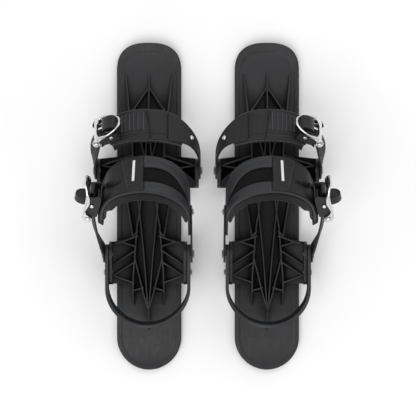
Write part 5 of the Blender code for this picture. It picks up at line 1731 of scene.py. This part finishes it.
def tab_pin(axes):
    seat = CHEEK_OUT + 0.3
    head = [(seat + 0.9, 1.5), (seat + 0.75, 2.0), (seat + 0.35, 2.35), (seat, 2.4),
            (seat, TAB_PIN_R)]
    return headed_pin(axes, TAB_PIN, head, 32)


# ------------------------------------------------------------------- ladders
TOOTH_PITCH, TEETH_START = 3.6, 24.0


def ladder_section(half, rim, tooth):
    """(across, up) points of the strap's section."""
    top = LADDER_T / 2
    part = min(1.0, half / 3)
    left = [(-half, -top + 0.5 * part), (-half, top - 0.45 + rim), (-half + 0.5 * part, top + rim),
            (-half + 2.2 * part, top + rim), (-half + 2.7 * part, top - 0.1),
            (-half + 3.1 * part, top - 0.1 + tooth), (-1.5 * part, top - 0.1 + tooth),
            (-1.1 * part, top - 0.15 + tooth * 0.3)]
    return (left + [(-x, z) for x, z in reversed(left)]
            + [(half - 0.5 * part, -top), (-half + 0.5 * part, -top)])


def ladder(axes, pivot, inner_x, up_dir, across_dir, inside, pull, twist):
    """Toothed strap from the lateral pivot into the buckle. inside is the
    buckle's length; pull is how far its curve's two handles reach along the
    strap and how far the first bows out; twist turns it on the way."""
    origin, forward, axle, up = axes
    pivot_x = -inner_x - LADDER_T / 2
    start = Vector((pivot_x, *pivot))
    rise = Vector((0, *up_dir))
    entry = origin + forward * 0.5 + up * (LADDER_LIFT + LADDER_T / 2)
    # points, each with its blend from the pivot's direction to the buckle's
    points = [start + rise * dist for dist in (-10.5, -7.0, -3.5, 0.0, 4.0, 8.0)]
    blends = [0.0] * len(points)
    first = points[-1]
    second = first + rise * pull[0] + Vector((-pull[2], 0, 0))
    third = entry - forward * pull[1]
    for k in range(1, 49):
        part = k / 48
        rest = 1 - part
        points.append(first * rest**3 + second * (3 * rest * rest * part)
                      + third * (3 * rest * part * part) + entry * part**3)
        blends.append(part)
    for k in range(1, 9):
        points.append(entry + forward * ((inside - 4.0) * k / 8))
        blends.append(1.0)
    runs = run_lengths(points)
    total = runs[-1]
    start_wide = Vector((0, *across_dir)).normalized()

    def sample(run):
        i, part = find_stretch(runs, run)
        return points[i].lerp(points[i + 1], part), blends[i] + (blends[i + 1] - blends[i]) * part

    def station(run):
        point, blend = sample(run)
        along = (sample(min(total, run + 1.5))[0] - sample(max(0.0, run - 1.5))[0]).normalized()
        wide = start_wide.lerp(axle, blend) + Vector(
            (-twist * math.sin(math.pi * blend**1.2), 0, 0))
        wide = (wide - along * wide.dot(along)).normalized()
        outward = wide.cross(along).normalized()
        if outward.dot(Vector((-1, 0, 0.2))) < 0:
            outward = -outward
        return point, wide, outward

    def half(run):
        full = lug_half(run, 0.0, LUG_R, LUG_R) + (LADDER_HALF - LUG_R) * ramp(12.0, 21.0, run)
        return max(0.6, full - edge_drop(total - run, 4.0))

    def tooth(run):
        if not TEETH_START <= run < total - 6:
            return 0.0
        phase = (run - TEETH_START) % TOOTH_PITCH
        if phase < 0.75:
            return TOOTH * ramp(0.0, 0.75, phase)
        return TOOTH * (1 - 0.95 * ramp(0.9, TOOTH_PITCH, phase))

    marks = list(np.arange(0, 24, 0.8)) + [0.15, 0.4]
    place = TEETH_START
    while place < total - 3:
        marks += [place + step for step in (0, 0.35, 0.75, 1.3, 2.2, 3.1)]
        place += TOOTH_PITCH
    marks += [total - back for back in (2.5, 1.5, 0.8, 0.3, 0)]
    rings, bands = [], []
    for run in sorted(set(round(float(mark), 3) for mark in marks if 0 <= mark <= total)):
        point, wide, outward = station(run)
        rim = 0.45 if 21.0 < run < total - 5 else 0.0
        section = ladder_section(half(run), rim, tooth(run))
        rings.append([tuple(point + wide * x + outward * z) for x, z in section])
        bands.append([(run, x, z) for x, z in section])
    return cut(loft(rings, bands), [side_hole(pivot_x, pivot, BOLT_R)])


# ----------------------------------------------------------------- fasteners
def pivot_bolt(side, pivot, outer, inner):
    seat = outer + GAP
    head = [(0, 4.8), (0.25, 5.0), (0.7, 4.95), (1.15, 4.5), (1.45, 3.7), (1.6, 2.7),
            (1.6, 2.3), (0.5, 2.2)]
    profile = [(inner, 1.6), (inner + 0.8, BOLT_R), (seat, BOLT_R)]
    profile += [(seat + up, radius) for up, radius in head]
    return turned((0, *pivot), (side, 0, 0), profile, 42, socket=True)


def small_screw(origin, axis, tip, shank, seat, head):
    """Screw whose shank starts at tip and shank, with a head of this radius."""
    # height above the seat, and how much narrower than the head
    dome = [(0, 0.15), (0.2, 0), (0.6, 0.05), (1.1, 0.5), (1.4, 1.0), (1.5, 1.35), (1.5, 1.5),
            (0.6, 1.6)]
    profile = [(tip, 0.9), (shank, SCREW_R), (seat, SCREW_R)]
    profile += [(seat + up, head - less) for up, less in dome]
    return turned(origin, axis, profile, socket=True)


def adjust_screw(station, pos, head):
    centre, _, outward = station(pos)
    return small_screw(tuple(centre), tuple(outward), 0.3, 0.3, LIFT + STRAP_T + GAP, head)


def hoop_screw(side):
    return small_screw((0, *HOOP_SCREW), (side, 0, 0), RAIL_IN - 0.6, RAIL_IN, HOOP_OUT + GAP, 3.8)


# --------------------------------------------------------------------- build
def build_ski():
    publish(ski_body(), "moulded_ski", "ski", "ski", "ski_body")
    publish(heel_hoop(), "moulded_hoop", "ski", "hoop", "heel_hoop")
    toe_out = TOE_HALF_SPAN + LIFT + STRAP_T
    ankle_out = ANKLE_RADIUS + LIFT + STRAP_T
    for label, side in (("medial", 1), ("lateral", -1)):
        publish(hoop_screw(side), f"hoop_socket_screw_{label}", "ski", "bolt",
                f"hoop_screw_{label}")
        publish(pivot_bolt(side, ANKLE_PIVOT, ankle_out, RAIL_IN - 0.8),
                f"ankle_button_bolt_{label}", "ski", "bolt", f"ankle_bolt_{label}")
        publish(pivot_bolt(side, TOE_PIVOT, toe_out, WALL_IN - 0.8),
                f"toe_button_bolt_{label}", "ski", "bolt", f"toe_bolt_{label}")


def build_buckle(which, axes, length, nose):
    body = f"{which}_strap"
    publish(buckle_base(axes, length, nose), f"{which}_buckle_channel", body, "buckle",
            f"{which}_buckle_base")
    publish(lever_pin(axes), f"{which}_lever_pivot_pin", body, "pin", f"{which}_lever_pin")
    publish(tab_pin(axes), f"{which}_tab_pivot_pin", body, "pin", f"{which}_tab_pin")


def build_toe():
    axes = buckle_axes("toe")
    tilt = RAD(TOE_ANGLE_SIDE)
    publish(toe_connector(), "toe_moulded_connector", "toe_strap", "strap", "toe_connector")
    publish(toe_shell(), "toe_moulded_shell", "toe_strap", "strap", "toe_shell")
    publish(adjust_screw(toe_station, TOE_SCREW, 3.0), "toe_socket_screw", "toe_strap", "pin",
            "toe_adjust_screw")
    publish(toe_pad(), "toe_padded_liner", "toe_strap", "pad", "toe_pad")
    publish(toe_piping(), "toe_pad_piping", "toe_strap", "piping")
    build_buckle("toe", axes, TOE_BUCKLE_LENGTH, nose=2.0)
    publish(toe_lever(axes), "toe_ring_lever", "toe_lever", "lever", "toe_buckle_lever")
    publish(toe_tab(axes), "toe_release_tab", "toe_tab", "tab", "toe_buckle_tab")
    publish(pawl_bracket(axes), "toe_pawl_bracket", "toe_strap", "lever", slot="pin_steel")
    publish(ladder(axes, TOE_PIVOT, TOE_HALF_SPAN + LIFT, up_dir=TOE_UP,
                   across_dir=(math.cos(tilt), math.sin(tilt)), inside=TOE_BUCKLE_LENGTH,
                   pull=(9.0, 11.0, 2.5), twist=0.5),
            "toe_toothed_ladder", "toe_ladder", "ladder", "toe_ladder")


def build_ankle():
    axes = buckle_axes("ankle")
    publish(ankle_connector(), "ankle_moulded_connector", "ankle_strap", "strap",
            "ankle_connector")
    publish(ankle_shell(), "ankle_moulded_shell", "ankle_strap", "strap", "ankle_shell")
    publish(ankle_window(), "ankle_window_mesh", "ankle_strap", "window")
    publish(adjust_screw(ankle_station, ANKLE_SCREW, 3.6), "ankle_socket_screw", "ankle_strap",
            "bolt", "ankle_adjust_screw")
    publish(ankle_pad(), "ankle_padded_liner", "ankle_strap", "pad", "ankle_pad")
    publish(ankle_piping(), "ankle_pad_piping", "ankle_strap", "piping")
    publish(ankle_stitching(), "ankle_seam_stitching", "ankle_strap", "thread")
    publish(ankle_stripe(), "ankle_plain_stripe", "ankle_strap", "print")
    build_buckle("ankle", axes, ANKLE_BUCKLE_LENGTH, nose=0.0)
    publish(ankle_lever(axes), "ankle_curved_lever", "ankle_lever", "lever",
            "ankle_buckle_lever")
    publish(ankle_tab(axes), "ankle_release_tab", "ankle_tab", "tab", "ankle_buckle_tab")
    publish(ladder(axes, ANKLE_PIVOT, ANKLE_RADIUS + LIFT, up_dir=ANKLE_UP,
                   across_dir=(ANKLE_UP[1], -ANKLE_UP[0]), inside=ANKLE_BUCKLE_LENGTH,
                   pull=(24.0, 22.0, 6.5), twist=0.34),
            "ankle_toothed_ladder", "ankle_ladder", "ladder", "ankle_ladder")


def finish_springs():
    """The coil springs keep their own solids, with a spring wire finish."""
    for side in ("left", "right"):
        for which in ("toe", "ankle"):
            materials = frame["nodes"][f"{side}_{which}_tab_spring"].data.materials
            materials.clear()
            materials.append(SPRING_WIRE)


# ------------------------------------------------------------ floor and light
def floor(reach=6.0):
    me = bpy.data.meshes.new("studio_floor")
    corners = [(-reach, -reach, 0), (reach, -reach, 0), (reach, reach, 0), (-reach, reach, 0)]
    me.from_pydata(corners, [], [(0, 1, 2, 3)])
    mat = Shader("studio_floor")
    grain = mat.noise(scale=9.0, detail=3.0, rough=0.5)
    base = mat.mix(mat.span(grain, over=(0.3, 0.7)), (0.895, 0.895, 0.90, 1),
                   (0.91, 0.91, 0.915, 1))
    me.materials.append(mat.finish(Base_Color=base, Roughness=0.9, Specular_IOR_Level=0.15))
    ob = bpy.data.objects.new("studio_floor", me)
    ob.location.z = -0.0002
    link(ob)


def light(name, place, size, power, target=(0, 0, 0.03)):
    data = bpy.data.lights.new(name, "AREA")
    data.shape, data.size, data.energy = "DISK", size, power
    ob = bpy.data.objects.new(name, data)
    ob.location = place
    aim = Vector(target) - Vector(place)
    ob.rotation_euler = aim.to_track_quat("-Z", "Y").to_euler()
    ob.visible_camera = False
    link(ob)


def camera():
    data = bpy.data.cameras.new("camera")
    data.sensor_width, data.lens = 36.0, 112.3
    data.clip_start, data.clip_end = 0.05, 20
    ob = bpy.data.objects.new("camera", data)
    ob.location = (0.0, -0.0018, 1.6)
    bpy.context.scene.camera = link(ob)


def studio():
    floor()
    world = bpy.data.worlds.new("studio")
    world.use_nodes = True
    background = world.node_tree.nodes["Background"].inputs
    background["Color"].default_value = (1.0, 1.0, 1.0, 1.0)
    background["Strength"].default_value = 0.70
    bpy.context.scene.world = world
    light("key", place=(-0.35, -0.75, 1.5), size=1.3, power=11.0)
    light("fill", place=(0.45, 0.85, 1.3), size=1.3, power=6.0)
    bpy.context.scene.view_settings.view_transform = "Standard"
    camera()


build_ski()
build_toe()
build_ankle()
finish_springs()
studio()
bpy.context.view_layer.update()
